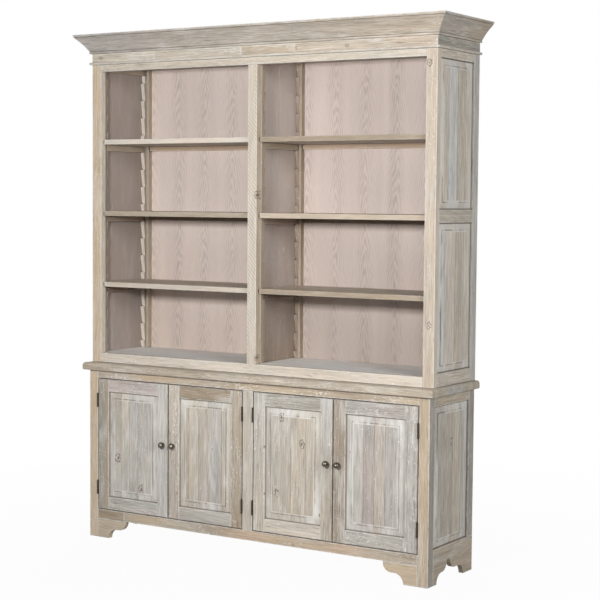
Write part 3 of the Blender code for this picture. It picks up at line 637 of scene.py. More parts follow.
def saw_group():
    """Slanting strokes that a band saw leaves, deeper in some places than in others."""
    nodes, given, result = new_group("saw_marks", "Place Half Grain", "Marks")
    across, through, along = nodes.parts(given["Place"])
    depth = nodes.math("ABSOLUTE", through / nodes.parts(given["Half"])[1])
    uneven = nodes.spread(given["Grain"], (30, 30, 30), -0.6, 0.6, 1)
    stroke = nodes.math("SINE", (across * SAW_SLANT + along) * (2 * pi / SAW_PERIOD) + uneven)
    patch = nodes.fade(nodes.noise(given["Grain"], (14, 14, 5), 1), 0.38, 0.56)
    nodes.feed(result["Marks"], stroke * patch * nodes.fade(depth, 0.94, 0.97))
    return nodes.tree


SAW_MARKS = saw_group()
print("saw marks:", len(SAW_MARKS.nodes), "nodes")

# %% [markdown]
# ## The limed finish
# The effects are laid on as a finisher would: streaks on the bare wood, a film of lime rubbed over it, lime
# left on worn edges and on the slopes of raised panels, knots that show through, and flecks. Last of all come
# painted shade in grooves, crevices and along a door's edges, and dirt in the joints of staves. One group
# holds it, and each wood only sets how much it gets of each.

# %% The limed finish
LIME = (0.72, 0.70, 0.66, 1.0)
FLECK = (0.84, 0.83, 0.80, 1.0)
KNOT_BROWN = (0.16, 0.115, 0.08, 1.0)
# dark brown for painted shade in grooves, crevices and along a door's edges, and for dirt in stave joints
SHADE_AND_DIRT = (0.15, 0.125, 0.10, 1.0)
GREY_CAST = (0.98, 0.997, 1.02, 1.0)
ROSE_CAST = (1.02, 0.993, 0.97, 1.0)
STREAK_STRENGTHS = {"Broad": 0.22, "Streak": 0.30, "Fibre": 0.42, "Rings": 0.07}
CRACK_DARKNESS = -0.38
SLOPE_LIME = (0.042, 0.039)
SLOPE_RAGGEDNESS = 0.006
# painted shade in the groove round a raised panel, and a painted shadow line at the step of its field
GROOVE_SHADE = (0.0165, 0.0115)
STEP_SHADOW = (0.0350, 0.0375, 0.0400, 0.0412)
# a pale line at the crest of a raised panel, partly lime and partly a painted highlight
CREST_LIME_AND_HIGHLIGHT = (0.0410, 0.0420, 0.0450, 0.0480)


def limed_group():
    nodes, given, result = new_group(
        "limed_pine", "Lime Contrast Edge Slope Saw Crevice", "Color Roughness Height",
    )
    tint, flecks = nodes.attribute("tint", "Color"), nodes.attribute("tint", "Alpha")
    grain, place, half = nodes.attribute("grain"), nodes.attribute("place"), nodes.attribute("half")
    # bare wood
    streaks = nodes.group(PINE_GRAIN, Grain=grain)
    shade = streaks["Cracks"] * CRACK_DARKNESS
    for name, strength in STREAK_STRENGTHS.items():
        shade = (streaks[name] - 0.5) * strength + shade
    saw = nodes.group(SAW_MARKS, Place=place, Half=half, Grain=grain)["Marks"]
    wood = nodes.scale(tint, shade * given["Contrast"] + saw * given["Saw"] + 1.0)
    cast = nodes.mix(nodes.spread(grain, (19, 19, 4), 0, 1, 1), GREY_CAST, ROSE_CAST)
    wood = nodes.mix(1.0, wood, cast, "MULTIPLY")
    # film of lime
    rubbed = nodes.spread(grain, (26, 26, 6), 0, 1) + (streaks["Fibre"] - 0.5) * 0.9
    film = nodes.fade(rubbed, 0.45, 1.15) * given["Lime"]
    wood = nodes.mix(film, wood, LIME)
    # lime on worn edges and in patches on the slope of a raised panel, and a pale line at its crest that is
    # partly lime and partly a painted highlight
    edges = nodes.group(WORN_EDGE, Place=place, Half=half)
    margin = edges["Margin"]
    worn = nodes.spread(grain, (34, 34, 9), 0.1, 1.3, 3) * nodes.spread(grain, (9, 9, 3), -0.1, 1.6)
    ragged = (streaks["Streak"] - 0.5) * SLOPE_RAGGEDNESS + margin
    slope = nodes.fade(ragged, *SLOPE_LIME).most(nodes.band(margin, *CREST_LIME_AND_HIGHLIGHT) * 1.5)
    slope = slope * given["Slope"] * worn
    bare = (edges["Wear"] * given["Edge"]).most(slope)
    wood = nodes.mix(bare, wood, LIME)
    # knots and flecks
    for name in ("knot", "knot_two"):
        knot = nodes.group(PLACED_KNOT, Place=place, Knot=nodes.attribute(name))
        wood = nodes.mix(knot["Pale"] * 0.25, wood, LIME)
        wood = nodes.mix(knot["Dark"] * 0.85, wood, KNOT_BROWN)
    spots = nodes.group(LIME_FLECKS, Grain=grain, Amount=flecks)["Flecks"]
    wood = nodes.mix(spots * 0.65, wood, FLECK)
    # painted shade in the groove and a painted shadow line at the step of a raised panel, painted shade in
    # crevices, and along rims a painted shadow at a door's edges with dirt in the joints of staves
    step = nodes.band(margin, *STEP_SHADOW) * nodes.span(worn, 0.75, 0.0)
    shade_and_dirt = nodes.fade(margin, *GROOVE_SHADE).most(step) * given["Slope"]
    rim = nodes.group(RIM_SHADOW_AND_JOINTS, Place=place, Half=half)["Rim"] * nodes.fade(slope, 0.5, 0.1)
    shade_and_dirt = shade_and_dirt.most(given["Crevice"]).most(rim * 0.85)
    nodes.feed(result["Color"], nodes.mix(shade_and_dirt, wood, SHADE_AND_DIRT))
    nodes.feed(result["Roughness"], film.most(bare.most(spots)) * 0.2 + 0.6)
    nodes.feed(result["Height"], streaks["Rings"] + streaks["Fibre"] + spots * 0.6)
    return nodes.tree


LIMED_PINE = limed_group()
print("limed pine:", len(LIMED_PINE.nodes), "nodes")

# %% Kinds of limed pine
# painted shade in crevices, from ambient occlusion within a short reach
CREVICE_REACH = 0.012
CREVICE_SHADE = (0.62, 0.30)
CREVICE_SHARE = 0.85
WOOD_SHINE = 0.3
PINE_RELIEF = 0.0006


def limed_material(name, lime=0.5, contrast=1.0, edge=0.55, slope=0.0, saw=0.0, relief=0.25):
    material, nodes, shader = new_material(name)
    # ambient occlusion darkens every crevice within the reach: painted shade
    closed = nodes.add("AmbientOcclusion", {"Distance": CREVICE_REACH}, "AO")
    crevice_shade = nodes.fade(closed, *CREVICE_SHADE) * CREVICE_SHARE
    finish = nodes.group(
        LIMED_PINE, Lime=lime, Contrast=contrast, Edge=edge, Slope=slope, Saw=saw, Crevice=crevice_shade,
    )
    dress(nodes, shader, finish["Color"], finish["Roughness"], finish["Height"], relief, PINE_RELIEF)
    shader["Specular IOR Level"].default_value = WOOD_SHINE
    return material


TAN = limed_material("tan_pine", lime=0.3, contrast=0.8)
SAWN = limed_material("sawn_pine", lime=0.3, contrast=0.5, saw=0.16)
LIMED = limed_material("limed_pine")
PANELLED = limed_material("limed_staves", edge=0.3, slope=0.75)
SIDE_PANELLED = limed_material("limed_side_staves", contrast=1.2, edge=0.3, slope=0.9)
INNER = limed_material("inner_pine", lime=0.15, contrast=0.5, edge=0.15, relief=0.15)
LINED = limed_material("lining_pine", lime=0.1, contrast=0.22, edge=0.0, relief=0.1)
print("woods:", [wood.name for wood in (TAN, SAWN, LIMED, PANELLED, SIDE_PANELLED, INNER, LINED)])

# %% [markdown]
# ## Oak veneer
# The backs are thin sheets veneered in oak. Leaves cut from the same log lie side by side, so the same
# pointed figure comes back every fifteen centimetres. The figure is what a flat cut through a tapering log
# shows: rings whose distance from the heart grows towards the sides, and shifts with height. A formula for
# that distance gives it, where plain noise would only give streaks.

# %% Veneer
LEAF_WIDTH = 0.15
HEART_DEPTH = 0.010
TAPER = 0.16
RING_WIDTH = 0.0095
FIGURE_REACH = (0.015, 0.05)
FIGURE_STRENGTHS = (1.0, 0.3)


def oak_group():
    nodes, given, result = new_group("oak_figure", "Place Grain", "Figure Pores")
    across, _, along = nodes.parts(given["Place"])
    leaf = nodes.math("FRACT", across / LEAF_WIDTH)
    side = (leaf - 0.5) * LEAF_WIDTH + nodes.spread(given["Grain"], (12, 12, 3), -0.007, 0.007, 1)
    heart = nodes.math("SQRT", side * side + HEART_DEPTH ** 2)
    rings = (along * TAPER + heart) / RING_WIDTH + nodes.spread(given["Grain"], (60, 60, 8), -0.5, 0.5)
    wave = nodes.math("SINE", rings * (2 * pi))
    limits = zip(("From Min", "From Max", "To Min", "To Max"), FIGURE_REACH + FIGURE_STRENGTHS)
    strong = nodes.add("MapRange", {"Value": heart, **dict(limits)})
    nodes.feed(result["Figure"], (wave * 0.5 + 0.5) * strong)
    nodes.feed(result["Pores"], nodes.spread(given["Grain"], (420, 420, 14), 0, 1))
    return nodes.tree


OAK_FIGURE = oak_group()


def veneer_material(name):
    material, nodes, shader = new_material(name)
    grain = nodes.attribute("grain")
    oak = nodes.group(OAK_FIGURE, Place=nodes.attribute("place"), Grain=grain)
    open_grain = oak["Figure"] * oak["Pores"]
    broad = nodes.spread(grain, (16, 16, 1.2), -0.05, 0.05, 1)
    wood = nodes.scale(nodes.attribute("tint", "Color"), open_grain * -0.38 + 1.05 + broad)
    cast = nodes.mix(nodes.spread(grain, (7, 7, 2), 0, 1, 1), GREY_CAST, ROSE_CAST)
    colour = nodes.mix(0.5, wood, nodes.mix(1.0, wood, cast, "MULTIPLY"))
    dress(nodes, shader, colour, oak["Pores"] * 0.15 + 0.55, open_grain, strength=0.15, depth=0.0004)
    shader["Specular IOR Level"].default_value = WOOD_SHINE
    return material


VENEER = veneer_material("oak_veneer")
print("oak veneer:", len(OAK_FIGURE.nodes), "nodes")

# %% [markdown]
# ## Tints
# No two reclaimed boards have the same colour. These are the woods that were sorted out for the piece, as the
# colour of the board under its lime, and two darker ones, a shadow brown and a shaded oak, that are painted
# shade. A random tint would be quicker to give, but a maker picks each board for its place, so every board
# names its own.

# %% Sorted woods
def srgb(red, green, blue):
    """A colour as a screen shows it, turned into the linear values that a shader takes."""
    linear = []
    for part in (red, green, blue):
        share = part / 255
        linear.append(share / 12.92 if share <= 0.04045 else ((share + 0.055) / 1.055) ** 2.4)
    return tuple(linear)


HONEY = srgb(190, 172, 148)
PEACH = srgb(194, 170, 147)
STRAW = srgb(188, 173, 153)
OAT = srgb(190, 181, 167)
CREAM = srgb(197, 187, 172)
LINEN = srgb(206, 196, 182)
IVORY = srgb(213, 203, 190)
CHALK = srgb(230, 230, 229)
WHEAT = srgb(192, 178, 161)
GOLD = srgb(200, 181, 156)
MIST = srgb(210, 208, 204)
AMBER = srgb(183, 166, 143)
PLUM = srgb(156, 145, 138)
BUTTER = srgb(210, 197, 178)
SAND = srgb(184, 174, 160)
DRIFT = srgb(179, 167, 150)
TAUPE = srgb(160, 148, 134)
# a near-black brown for battens and cleats under the lower shelves: painted shade
SHADOW_BROWN = srgb(118, 102, 86)
FAWN = srgb(171, 157, 139)
UMBER = srgb(160, 145, 126)
BARK = srgb(146, 130, 116)
ASH = srgb(160, 155, 145)
PEARL = srgb(178, 173, 164)
FROST = srgb(191, 187, 180)
LILAC = srgb(170, 164, 158)
ROSE = srgb(179, 168, 157)
MAUVE = srgb(174, 162, 155)
DUSK = srgb(188, 177, 170)
OAK = srgb(220, 206, 198)
# a darker oak for the foot of the back sheets: painted shade
SHADED_OAK = srgb(206, 190, 179)
print("darkest and palest wood:", [round(part, 2) for part in SHADOW_BROWN + CHALK])

# %% [markdown]
# ## Base frame
# The corner posts run down to the floor and the rails are tenoned between them. The bottom rail is pieced
# near its left end. The frame could be one solid with lines drawn on it. Here every member is a board of
# its own, so the shoulders of the joints show as fine gaps that catch the light.

# %% Base face frame
RAIL_JOINT = -0.677
RAIL_KNOT = (0.2353, 0.0944, 0.005)
POST_AXIS = 0 if X_BASE - X_DOOR_OUTER > Y_POST_BACK - Y_BASE else 1
# the right post's side face takes a darker tint of its own: painted shade
POST_TINT = painted_side_light(AMBER, ASH, POST_AXIS)
TOP_RAIL_TINT = fading(DRIFT, HONEY, FAWN, HONEY, FAWN, HONEY)
BOTTOM_RAIL_TINT = fading(DRIFT, HONEY, DRIFT, FAWN, PEACH, HONEY, STRAW, PEACH, DRIFT, FAWN)

with piece("base_face_frame_boards", [TAN], "tan_pine", "base_face_frame") as shape:
    for side, tint in ((-1, GOLD), (1, POST_TINT)):
        left, right = sorted((side * X_DOOR_OUTER, side * X_BASE))
        board(shape, (left, Y_BASE, 0), (right, Y_POST_BACK, Z_WORKTOP), "Z", tint)
    half, inner, back = CENTRE_STILE / 2, X_DOOR_OUTER - GAP, Y_BASE_RAIL_BACK
    high = Z_DOOR_LOW - GAP
    board(shape, (-half, Y_BASE, Z_DOOR_LOW), (half, back, Z_DOOR_HIGH), "Z", OAT)
    start = (-inner, Y_BASE, Z_DOOR_HIGH + GAP)
    board(shape, start, (inner, back, Z_WORKTOP), "X", TOP_RAIL_TINT, flecks=0.45)
    board(shape, (-inner, Y_BASE, Z_FOOT), (RAIL_JOINT, back, high), "X", UMBER)
    start = (RAIL_JOINT + 2 * GAP, Y_BASE, Z_FOOT)
    board(shape, start, (inner, back, high), "X", BOTTOM_RAIL_TINT, flecks=0.4, knots=[RAIL_KNOT])

# %% [markdown]
# ## Bracket feet
# The feet are sawn to a hollow and a lobe. They could be cut out of a block with other solids, but the
# outline is only two quarter arcs, so it is drawn once, as a face, and extruded to the board's thickness.

# %% Sawn outlines
ARC_STEPS = 10
BRACKET_LIP = 0.004


def bracket_curve(toe, tip, height):
    """Points from the toe on the floor, up a hollow and round a lobe, to the tip under the rail."""
    hollow = height / 2
    lobe = height - hollow - BRACKET_LIP
    way = 1 if tip > toe else -1
    room = abs(tip - toe) / 2
    in_reach, out_reach = way * min(hollow, room), way * min(lobe, room)
    turns = [step * pi / 2 / ARC_STEPS for step in range(ARC_STEPS + 1)]
    points = [(toe + in_reach * (1 - cos(turn)), hollow * sin(turn)) for turn in turns]
    points += [(tip - out_reach * (1 - sin(turn)), hollow + lobe * (1 - cos(turn))) for turn in turns]
    return points + [(tip, height)]


def label_outline(shape, along, tint, flecks, knots=(), wide=None):
    """Label the new points as one board that fills their own box."""
    points = [vert.co for vert in fresh(shape)]
    low, high = (Vector([pick(point[axis] for point in points) for axis in range(3)]) for pick in (min, max))
    label_board(shape, low, high, along, tint, flecks, knots, wide=wide)


def sawn(shape, outline, flat, out, start, thickness, along, tint, flecks=FLECKS, ease=EASE):
    """A board sawn to an outline: flat is the outline's level axis, out the axis it is thick along."""
    level, depth = UNITS[flat], UNITS[out]
    verts = [shape.verts.new(level * across + depth * start + UNITS["Z"] * up) for across, up in outline]
    raised = bmesh.ops.extrude_face_region(shape, geom=[shape.faces.new(verts)])["geom"]
    moved = [item for item in raised if isinstance(item, bmesh.types.BMVert)]
    bmesh.ops.translate(shape, vec=depth * thickness, verts=moved)
    bmesh.ops.recalc_face_normals(shape, faces=faces_of(fresh(shape)))
    ease_edges(shape, ease)
    label_outline(shape, along, tint, flecks)


# %% Front feet
FRONT_TOE = 0.063

for side, word, tint in ((-1, "left", STRAW), (1, "right", HONEY)):
    name = f"foot_bracket_front_{word}"
    low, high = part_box(name)
    heel, tip = (low.x, high.x) if side < 0 else (high.x, low.x)
    outline = bracket_curve(heel - side * FRONT_TOE, tip, high.z) + [(heel, high.z), (heel, 0)]
    with piece(f"{name}_board", [TAN], "tan_pine", name) as shape:
        sawn(shape, outline, "X", "Y", Y_BASE, Y_BASE_RAIL_BACK - Y_BASE, "X", tint)

# %% [markdown]
# ## Raised panels
# A panel this wide is glued up from narrow staves, then its margin is planed to a slope that fits the groove
# of the frame. The operators follow the same order: a block, an inset for the tongue, an inset for the slope,
# a small step, and then cuts that part the block into staves, each with its own grain and tint.

# %% Staved panels
TONGUE = 0.007
GROOVE = 0.0093
PANEL_BEVEL = 0.030
PANEL_RISE = 0.005
PANEL_STEP = 0.002
PANEL_STEP_RUN = 0.0008
JOINT_FINENESS = 3.0
STAVE_FLECKS = 0.3


def panel_block(shape, width, height):
    """A raised panel lying flat, its field towards +Z."""
    made = block(shape, (width, height, TONGUE))
    field = max(faces_of(made), key=lambda face: face.calc_center_median().z)
    for inset, rise in ((GROOVE, 0), (PANEL_BEVEL, PANEL_RISE), (PANEL_STEP_RUN, PANEL_STEP)):
        bmesh.ops.inset_region(shape, faces=[field], thickness=inset, use_boundary=True, use_even_offset=True)
        bmesh.ops.translate(shape, verts=field.verts, vec=(0, 0, rise))


def keep_between(shape, axis, low, high):
    """Cut away what lies outside two planes, and close the cuts."""
    for place, way in ((low, -1), (high, 1)):
        made = fresh(shape)
        plane = Vector([way if number == axis else 0 for number in range(3)])
        if any((vert.co[axis] - place) * way > GAP for vert in made):
            geom = made + edges_of(made) + faces_of(made)
            cut = {"plane_co": plane * place * way, "plane_no": plane, "clear_outer": True}
            bmesh.ops.bisect_plane(shape, geom=geom, **cut)
            bmesh.ops.holes_fill(shape, edges=[edge for edge in edges_of(fresh(shape)) if edge.is_boundary])


def staved_panel(shape, box, out, staves):
    """Staves are (share of the width, tint, knots); out is the outward direction of the field."""
    low, high = box
    size, middle = high - low, (low + high) / 2
    level = "Y" if abs(out.x) > abs(out.y) else "X"
    width = size["XYZ".index(level)]
    seat = middle - out * (size @ Vector([abs(part) for part in out]) / 2 - TONGUE / 2)
    turn = Matrix.Translation(seat) @ Matrix((UNITS[level], UNITS["Z"], out)).transposed().to_4x4()
    axes, half = Matrix((UNITS[level], out, UNITS["Z"])), Vector((width / 2, size.z, size.z / 2))
    place, rim = shape.verts.layers.float_vector["place"], shape.verts.layers.float_color["rim"]
    whole = sum(stave[0] for stave in staves)
    edge = -width / 2
    for share, tint, *knots in staves:
        end = edge + width * share / whole
        panel_block(shape, width, size.z)
        keep_between(shape, 0, edge, end)
        made = fresh(shape)
        bmesh.ops.transform(shape, matrix=turn, verts=made)
        bmesh.ops.recalc_face_normals(shape, faces=faces_of(made))
        label(shape, axes, middle, half, tint, STAVE_FLECKS, knots)
        for vert in made:
            across = vert[place][0]
            vert[rim] = (JOINT_FINENESS * (across - edge), JOINT_FINENESS * (end - across), 1, 1)
        edge = end


# %% [markdown]
# ## Sides of the base
# Each side is a frame round one panel. Its bottom rail is sawn to the same bracket curves as the front, with
# a high arch between the two feet, so the same two functions make it.

# %% Base sides
SIDE_FRONT_TOE = 0.032
SIDE_FRONT_REACH = 0.089
SIDE_ARCH = 0.031
SIDE_REAR_TOE = 0.080
SIDE_TOP_RAIL = 0.042
SIDE_BOTTOM_RAIL = 0.061
Y_REAR_STILE = Y_BACK - REAR_STILE
BASE_SIDE_STAVES = {
    "left": ((1.2, FROST), (1.0, SAND), (1.2, LINEN), (0.9, FROST)),
    "right": ((1.0, PEARL), (1.3, SAND, (0, 0.565, 0.010)), (1.1, CREAM), (1.0, FROST)),
}

for side, word in ((-1, "left"), (1, "right")):
    name = f"base_side_frame_{word}"
    low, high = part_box(name)
    front, top = low.y, high.z
    rail_top = Z_FOOT + SIDE_BOTTOM_RAIL
    toe = front + SIDE_FRONT_TOE
    tip = toe + SIDE_FRONT_REACH
    outline = [(front, 0)] + bracket_curve(toe, tip, Z_FOOT)
    outline += bracket_curve(Y_BACK - SIDE_REAR_TOE, tip + SIDE_ARCH, Z_FOOT)[::-1]
    outline += [(Y_BACK, 0), (Y_BACK, rail_top), (front, rail_top)]
    with piece(f"base_side_{word}_boards", [LIMED], "limed_pine", name) as shape:
        sawn(shape, outline, "Y", "X", low.x, SIDE_THICKNESS, "Y", DRIFT)
        board(shape, (low.x, Y_REAR_STILE, rail_top + GAP), (high.x, Y_BACK, top), "Z", ASH)
        board(shape, (low.x, front, top - SIDE_TOP_RAIL), (high.x, Y_REAR_STILE - GAP, top), "Y", DRIFT)
    name = f"base_side_panel_{word}"
    with piece(f"{name}_staves", [SIDE_PANELLED], "limed_pine", name) as shape:
        staved_panel(shape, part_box(name), UNITS["X"] * side, BASE_SIDE_STAVES[word])

# %% [markdown]
# ## Worktop
# The worktop is three boards glued edge to edge and rounded over at the front and both ends, but not at the
# back, which stands against a wall. The whole block is bevelled first and parted into its boards afterwards,
# so that the rounding runs through the joints.

# %% Worktop
TOP_ROUND = 0.014
UNDER_ROUND = 0.006
ROUND_STEPS = 8
WORKTOP_BOARDS = ((1.0, DRIFT), (1.3, PEARL), (1.1, DRIFT))


def rounded_block(shape, low, high):
    block(shape, high - low, (low + high) / 2)
    for level, radius in ((high.z, TOP_ROUND), (low.z, UNDER_ROUND)):
        rims = []
        for edge in edges_of(fresh(shape)):
            flat = all(abs(vert.co.z - level) < GAP for vert in edge.verts)
            if flat and not all(vert.co.y > high.y - GAP for vert in edge.verts):
                rims.append(edge)
        round_over(shape, rims, radius, ROUND_STEPS)


low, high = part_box("worktop")
depth, height, length = high.y - low.y, high.z - low.z, high.x - low.x
axes = Matrix((UNITS["Y"], UNITS["Z"], UNITS["X"]))
whole = sum(share for share, _ in WORKTOP_BOARDS)
edge = low.y
with piece("worktop_boards", [LIMED], "limed_pine", "worktop") as shape:
    for share, tint in WORKTOP_BOARDS:
        end = edge + depth * share / whole
        rounded_block(shape, low, high)
        keep_between(shape, 1, edge, end)
        label(shape, axes, (low + high) / 2, Vector((depth, height, length)), tint, flecks=0.45)
        edge = end

# %% [markdown]
# ## Inside the cupboard
# The floor is laid in boards round the corner posts, a partition stands behind the centre stile, and a thin
# veneered sheet closes the back. Little of it shows while the doors are shut, so its boards are plain and
# equal, and a loop lays them.

# %% Cupboard inside
FLOOR_BOARDS = 3


def planked(shape, low, high, along, across, count, tints):
    """A surface of equal boards laid side by side."""
    axis = "XYZ".index(across)
    step = (high[axis] - low[axis]) / count
    for number in range(count):
        start, end = low.copy(), high.copy()
        start[axis] = low[axis] + number * step
        end[axis] = start[axis] + step - GAP
        board(shape, start, end, along, tints[number % len(tints)])


low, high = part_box("cupboard_floor")
with piece("cupboard_floor_boards", [INNER], "inner_pine", "cupboard_floor") as shape:
    inner = X_DOOR_OUTER - GAP
    board(shape, (-inner, low.y, low.z), (inner, Y_POST_BACK, high.z), "X", DRIFT)
    corner = Vector((low.x, Y_POST_BACK + GAP, low.z))
    planked(shape, corner, high, "X", "Y", FLOOR_BOARDS, (DRIFT, ASH, DRIFT))
with piece("cupboard_partition_boards", [INNER], "inner_pine", "cupboard_partition") as shape:
    planked(shape, *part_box("cupboard_partition"), "Z", "Y", 2, (MAUVE, DRIFT))
with piece("cupboard_back_sheet", [VENEER], "oak_veneer", "cupboard_back") as shape:
    board(shape, *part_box("cupboard_back"), "Z", OAK)

# %% [markdown]
# ## Upper frame
# The bookcase front is a frame of the same pine, set back a little from the worktop's edge, and made like
# the one below. Its centre stile still shows the strokes of the saw, so it gets a finish of its own.

# %% Upper face frame
STILE_KNOTS = ((0.842, 2.090, 0.010), (0.853, 1.052, 0.009))
CENTRE_KNOTS = ((0.0235, 1.567, 0.010), (0.0235, 0.873, 0.008))
UPPER_FLECKS = 0.4
X_OPENING = X_UPPER - UPPER_STILE

# the right faces of these boards take tints of their own: painted light on the two outer stiles, painted
# shade on the centre stile
with piece("upper_face_frame_boards", [TAN, SAWN], "tan_pine", "upper_face_frame") as shape:
    for side, tint, knots in ((-1, painted_side_light(GOLD, CREAM), ()), (1, painted_side_light(WHEAT, BUTTER), STILE_KNOTS)):
        left, right = sorted((side * X_OPENING, side * X_UPPER))
        start, end = (left, Y_UPPER, Z_UPPER), (right, Y_UPPER_BACK, Z_CORNICE)
        board(shape, start, end, "Z", tint, UPPER_FLECKS, knots)
    half, inner = UPPER_CENTRE_STILE / 2, X_OPENING - GAP
    board(shape, (-inner, Y_UPPER, Z_UPPER), (inner, Y_UPPER_BACK, Z_BAY_LOW), "X", LINEN, UPPER_FLECKS)
    board(shape, (-inner, Y_UPPER, Z_BAY_HIGH), (inner, Y_UPPER_BACK, Z_CORNICE), "X", CREAM, UPPER_FLECKS)
    start, end = (-half, Y_UPPER, Z_BAY_LOW + GAP), (half, Y_UPPER_BACK, Z_BAY_HIGH - GAP)
    board(shape, start, end, "Z", painted_side_light(CREAM, STRAW), flecks=0.3, knots=CENTRE_KNOTS, finish=1)

# %% [markdown]
# ## Upper sides
# Three rails and a rear stile hold two panels, and a thin lining inside gives the bays a flat wall. The
# panels are the base's panels again, with other staves.

# %% Upper sides
UPPER_SIDE_TOP_RAIL = 0.034
UPPER_SIDE_BOTTOM_RAIL = 0.055
UPPER_SIDE_MID_RAIL = 0.053
UPPER_SIDE_MID_HEIGHT = 0.657
LINING = 0.004
X_WALL = X_UPPER - SIDE_THICKNESS
X_LINED = X_WALL + LINING
UPPER_SIDE_STAVES = {
    "upper": ((1.0, LINEN), (0.9, MIST), (0.9, CREAM), (0.9, IVORY)),
    "lower": ((0.9, MIST), (1.2, IVORY), (1.0, CREAM), (1.1, LINEN)),
}

for side, word in ((-1, "left"), (1, "right")):
    frame_name = f"upper_side_frame_{word}"
    low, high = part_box(frame_name)
    mid = Z_UPPER + UPPER_SIDE_MID_HEIGHT
    rails = (
        (low.z, Z_UPPER + UPPER_SIDE_BOTTOM_RAIL, CREAM), (mid, mid + UPPER_SIDE_MID_RAIL, OAT),
        (high.z - UPPER_SIDE_TOP_RAIL, high.z, CREAM),
    )
    left, right = sorted((side * X_UPPER, side * X_LINED))
    with piece(f"upper_side_{word}_boards", [LIMED], "limed_pine", frame_name) as shape:
        board(shape, (left, Y_REAR_STILE + GAP, low.z), (right, Y_BACK, high.z), "Z", FROST)
        for bottom, top, tint in rails:
            board(shape, (left, low.y, bottom), (right, Y_REAR_STILE, top), "Y", tint, flecks=0.55)
    left, right = sorted((side * X_WALL, side * (X_LINED - GAP)))
    with piece(f"upper_side_{word}_lining", [LINED], "inner_pine", frame_name) as shape:
        end = (right, Y_BACK - REAR_STILE / 2, high.z)
        board(shape, (left, low.y, low.z), end, "Z", PLUM, flecks=0)
    for level, staves in UPPER_SIDE_STAVES.items():
        name = f"upper_side_panel_{word}_{level}"
        with piece(f"{name}_staves", [SIDE_PANELLED], "limed_pine", name) as shape:
            staved_panel(shape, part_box(name), UNITS["X"] * side, staves)

# %% [markdown]
# ## Inside the bookcase
# The back is oak veneer with its grain upright, held by four corner strips. The floor and the divider have
# little lime on them. Each could be one slab, but laid in planks their joints show as real ones do.

# %% Bookcase inside
BACK_SHEET = 0.007
STRIP_WIDTH = 0.012
STRIP_DEPTH = 0.027
RACK_THICKNESS = 0.018
OUTER_STRIP_GAP = 0.014
INNER_STRIP_GAP = 0.001
STRIP_TINTS = (FAWN, STRAW, UMBER, FAWN)
# the back sheets are darker towards the bottom: painted shade
LEFT_OAK = fading(SHADED_OAK, OAK, OAK)
RIGHT_OAK = fading(srgb(180, 166, 157), srgb(211, 197, 189), srgb(211, 197, 190))
# the divider is darker towards the bottom: painted shade
DIVIDER_SHADED_TINT = fading(BARK, MAUVE, DUSK, DUSK)
DIVIDER_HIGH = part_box("centre_divider")[1]

with piece("bookcase_floor_boards", [INNER], "inner_pine", "bookcase_floor") as shape:
    planked(shape, *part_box("bookcase_floor"), "X", "Y", FLOOR_BOARDS, (CHALK,))
with piece("centre_divider_boards", [LINED], "inner_pine", "centre_divider") as shape:
    planked(shape, *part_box("centre_divider"), "Z", "Y", 2, (DIVIDER_SHADED_TINT,))
low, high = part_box("bookcase_back")
sheet = high.y - BACK_SHEET
with piece("bookcase_back_sheets", [VENEER], "oak_veneer", "bookcase_back") as shape:
    board(shape, (low.x, sheet, low.z), (-GAP / 2, high.y, high.z), "Z", LEFT_OAK, flecks=0)
    board(shape, (GAP / 2, sheet, low.z), (high.x, high.y, high.z), "Z", RIGHT_OAK, flecks=0)
X_OUTER_STRIP = X_WALL - RACK_THICKNESS - OUTER_STRIP_GAP - STRIP_WIDTH
X_INNER_STRIP = DIVIDER_HIGH.x + RACK_THICKNESS + INNER_STRIP_GAP
places = (-X_OUTER_STRIP - STRIP_WIDTH, -X_INNER_STRIP - STRIP_WIDTH, X_INNER_STRIP, X_OUTER_STRIP)
with piece("bookcase_corner_strips", [INNER], "limed_pine", "bookcase_back") as shape:
    for left, tint in zip(places, STRIP_TINTS):
        corner = (left, sheet - STRIP_DEPTH, Z_BAY_LOW + GAP)
        board(shape, corner, (left + STRIP_WIDTH, sheet - GAP, DIVIDER_HIGH.z), "Z", tint)

# %% [markdown]
# ## Cornice
# The crown, the frieze under it and the half-round bead are three separate runs. Each follows the front and
# both sides with mitred corners. A curve with a bevel profile could sweep them, but its corners would have
# no real mitres, so a run is a ring of points, set at both of its ends and bridged. The frieze is pieced
# from four short boards, which shows in their colours.

# %% Sections of the cornice
BEAD_HEIGHT = 0.011
BEAD_OUT = 0.011
FRIEZE_HEIGHT = 0.039
CROWN_OUT = 0.064
CROWN_FILLET = 0.012
CROWN_LEAN = 0.004
CROWN_HOLLOW = 0.003
CROWN_FOOT = 0.010
CROWN_FOOT_HEIGHT = 0.011
QUIRK = 0.003
CORNICE_WALL = 0.036
Z_BEAD = Z_CORNICE + GAP
Z_CROWN = Z_BEAD + BEAD_HEIGHT + FRIEZE_HEIGHT
HALF_TURN = [step / (2 * ARC_STEPS) for step in range(2 * ARC_STEPS + 1)]


def crown_section():
    """Points of the crown, as how far out from the carcass and how high."""
    low = Vector((CROWN_FOOT, Z_CROWN + CROWN_FOOT_HEIGHT))
    high = Vector((CROWN_OUT - CROWN_LEAN, Z_TOP - CROWN_FILLET))
    hollow = (high - low).orthogonal().normalized() * CROWN_HOLLOW
    points = [(-CORNICE_WALL, Z_TOP), (-CORNICE_WALL, Z_CROWN), (CROWN_FOOT, Z_CROWN)]
    points += [(low.x, low.y - QUIRK), (low.x - QUIRK, low.y - QUIRK / 2)]
    points += [tuple(low.lerp(high, share) + hollow * sin(pi * share)) for share in HALF_TURN]
    points += [(high.x - QUIRK, high.y + QUIRK / 2)]
    return points + [(high.x + QUIRK * CROWN_LEAN / CROWN_FILLET, high.y + QUIRK), (CROWN_OUT, Z_TOP)]


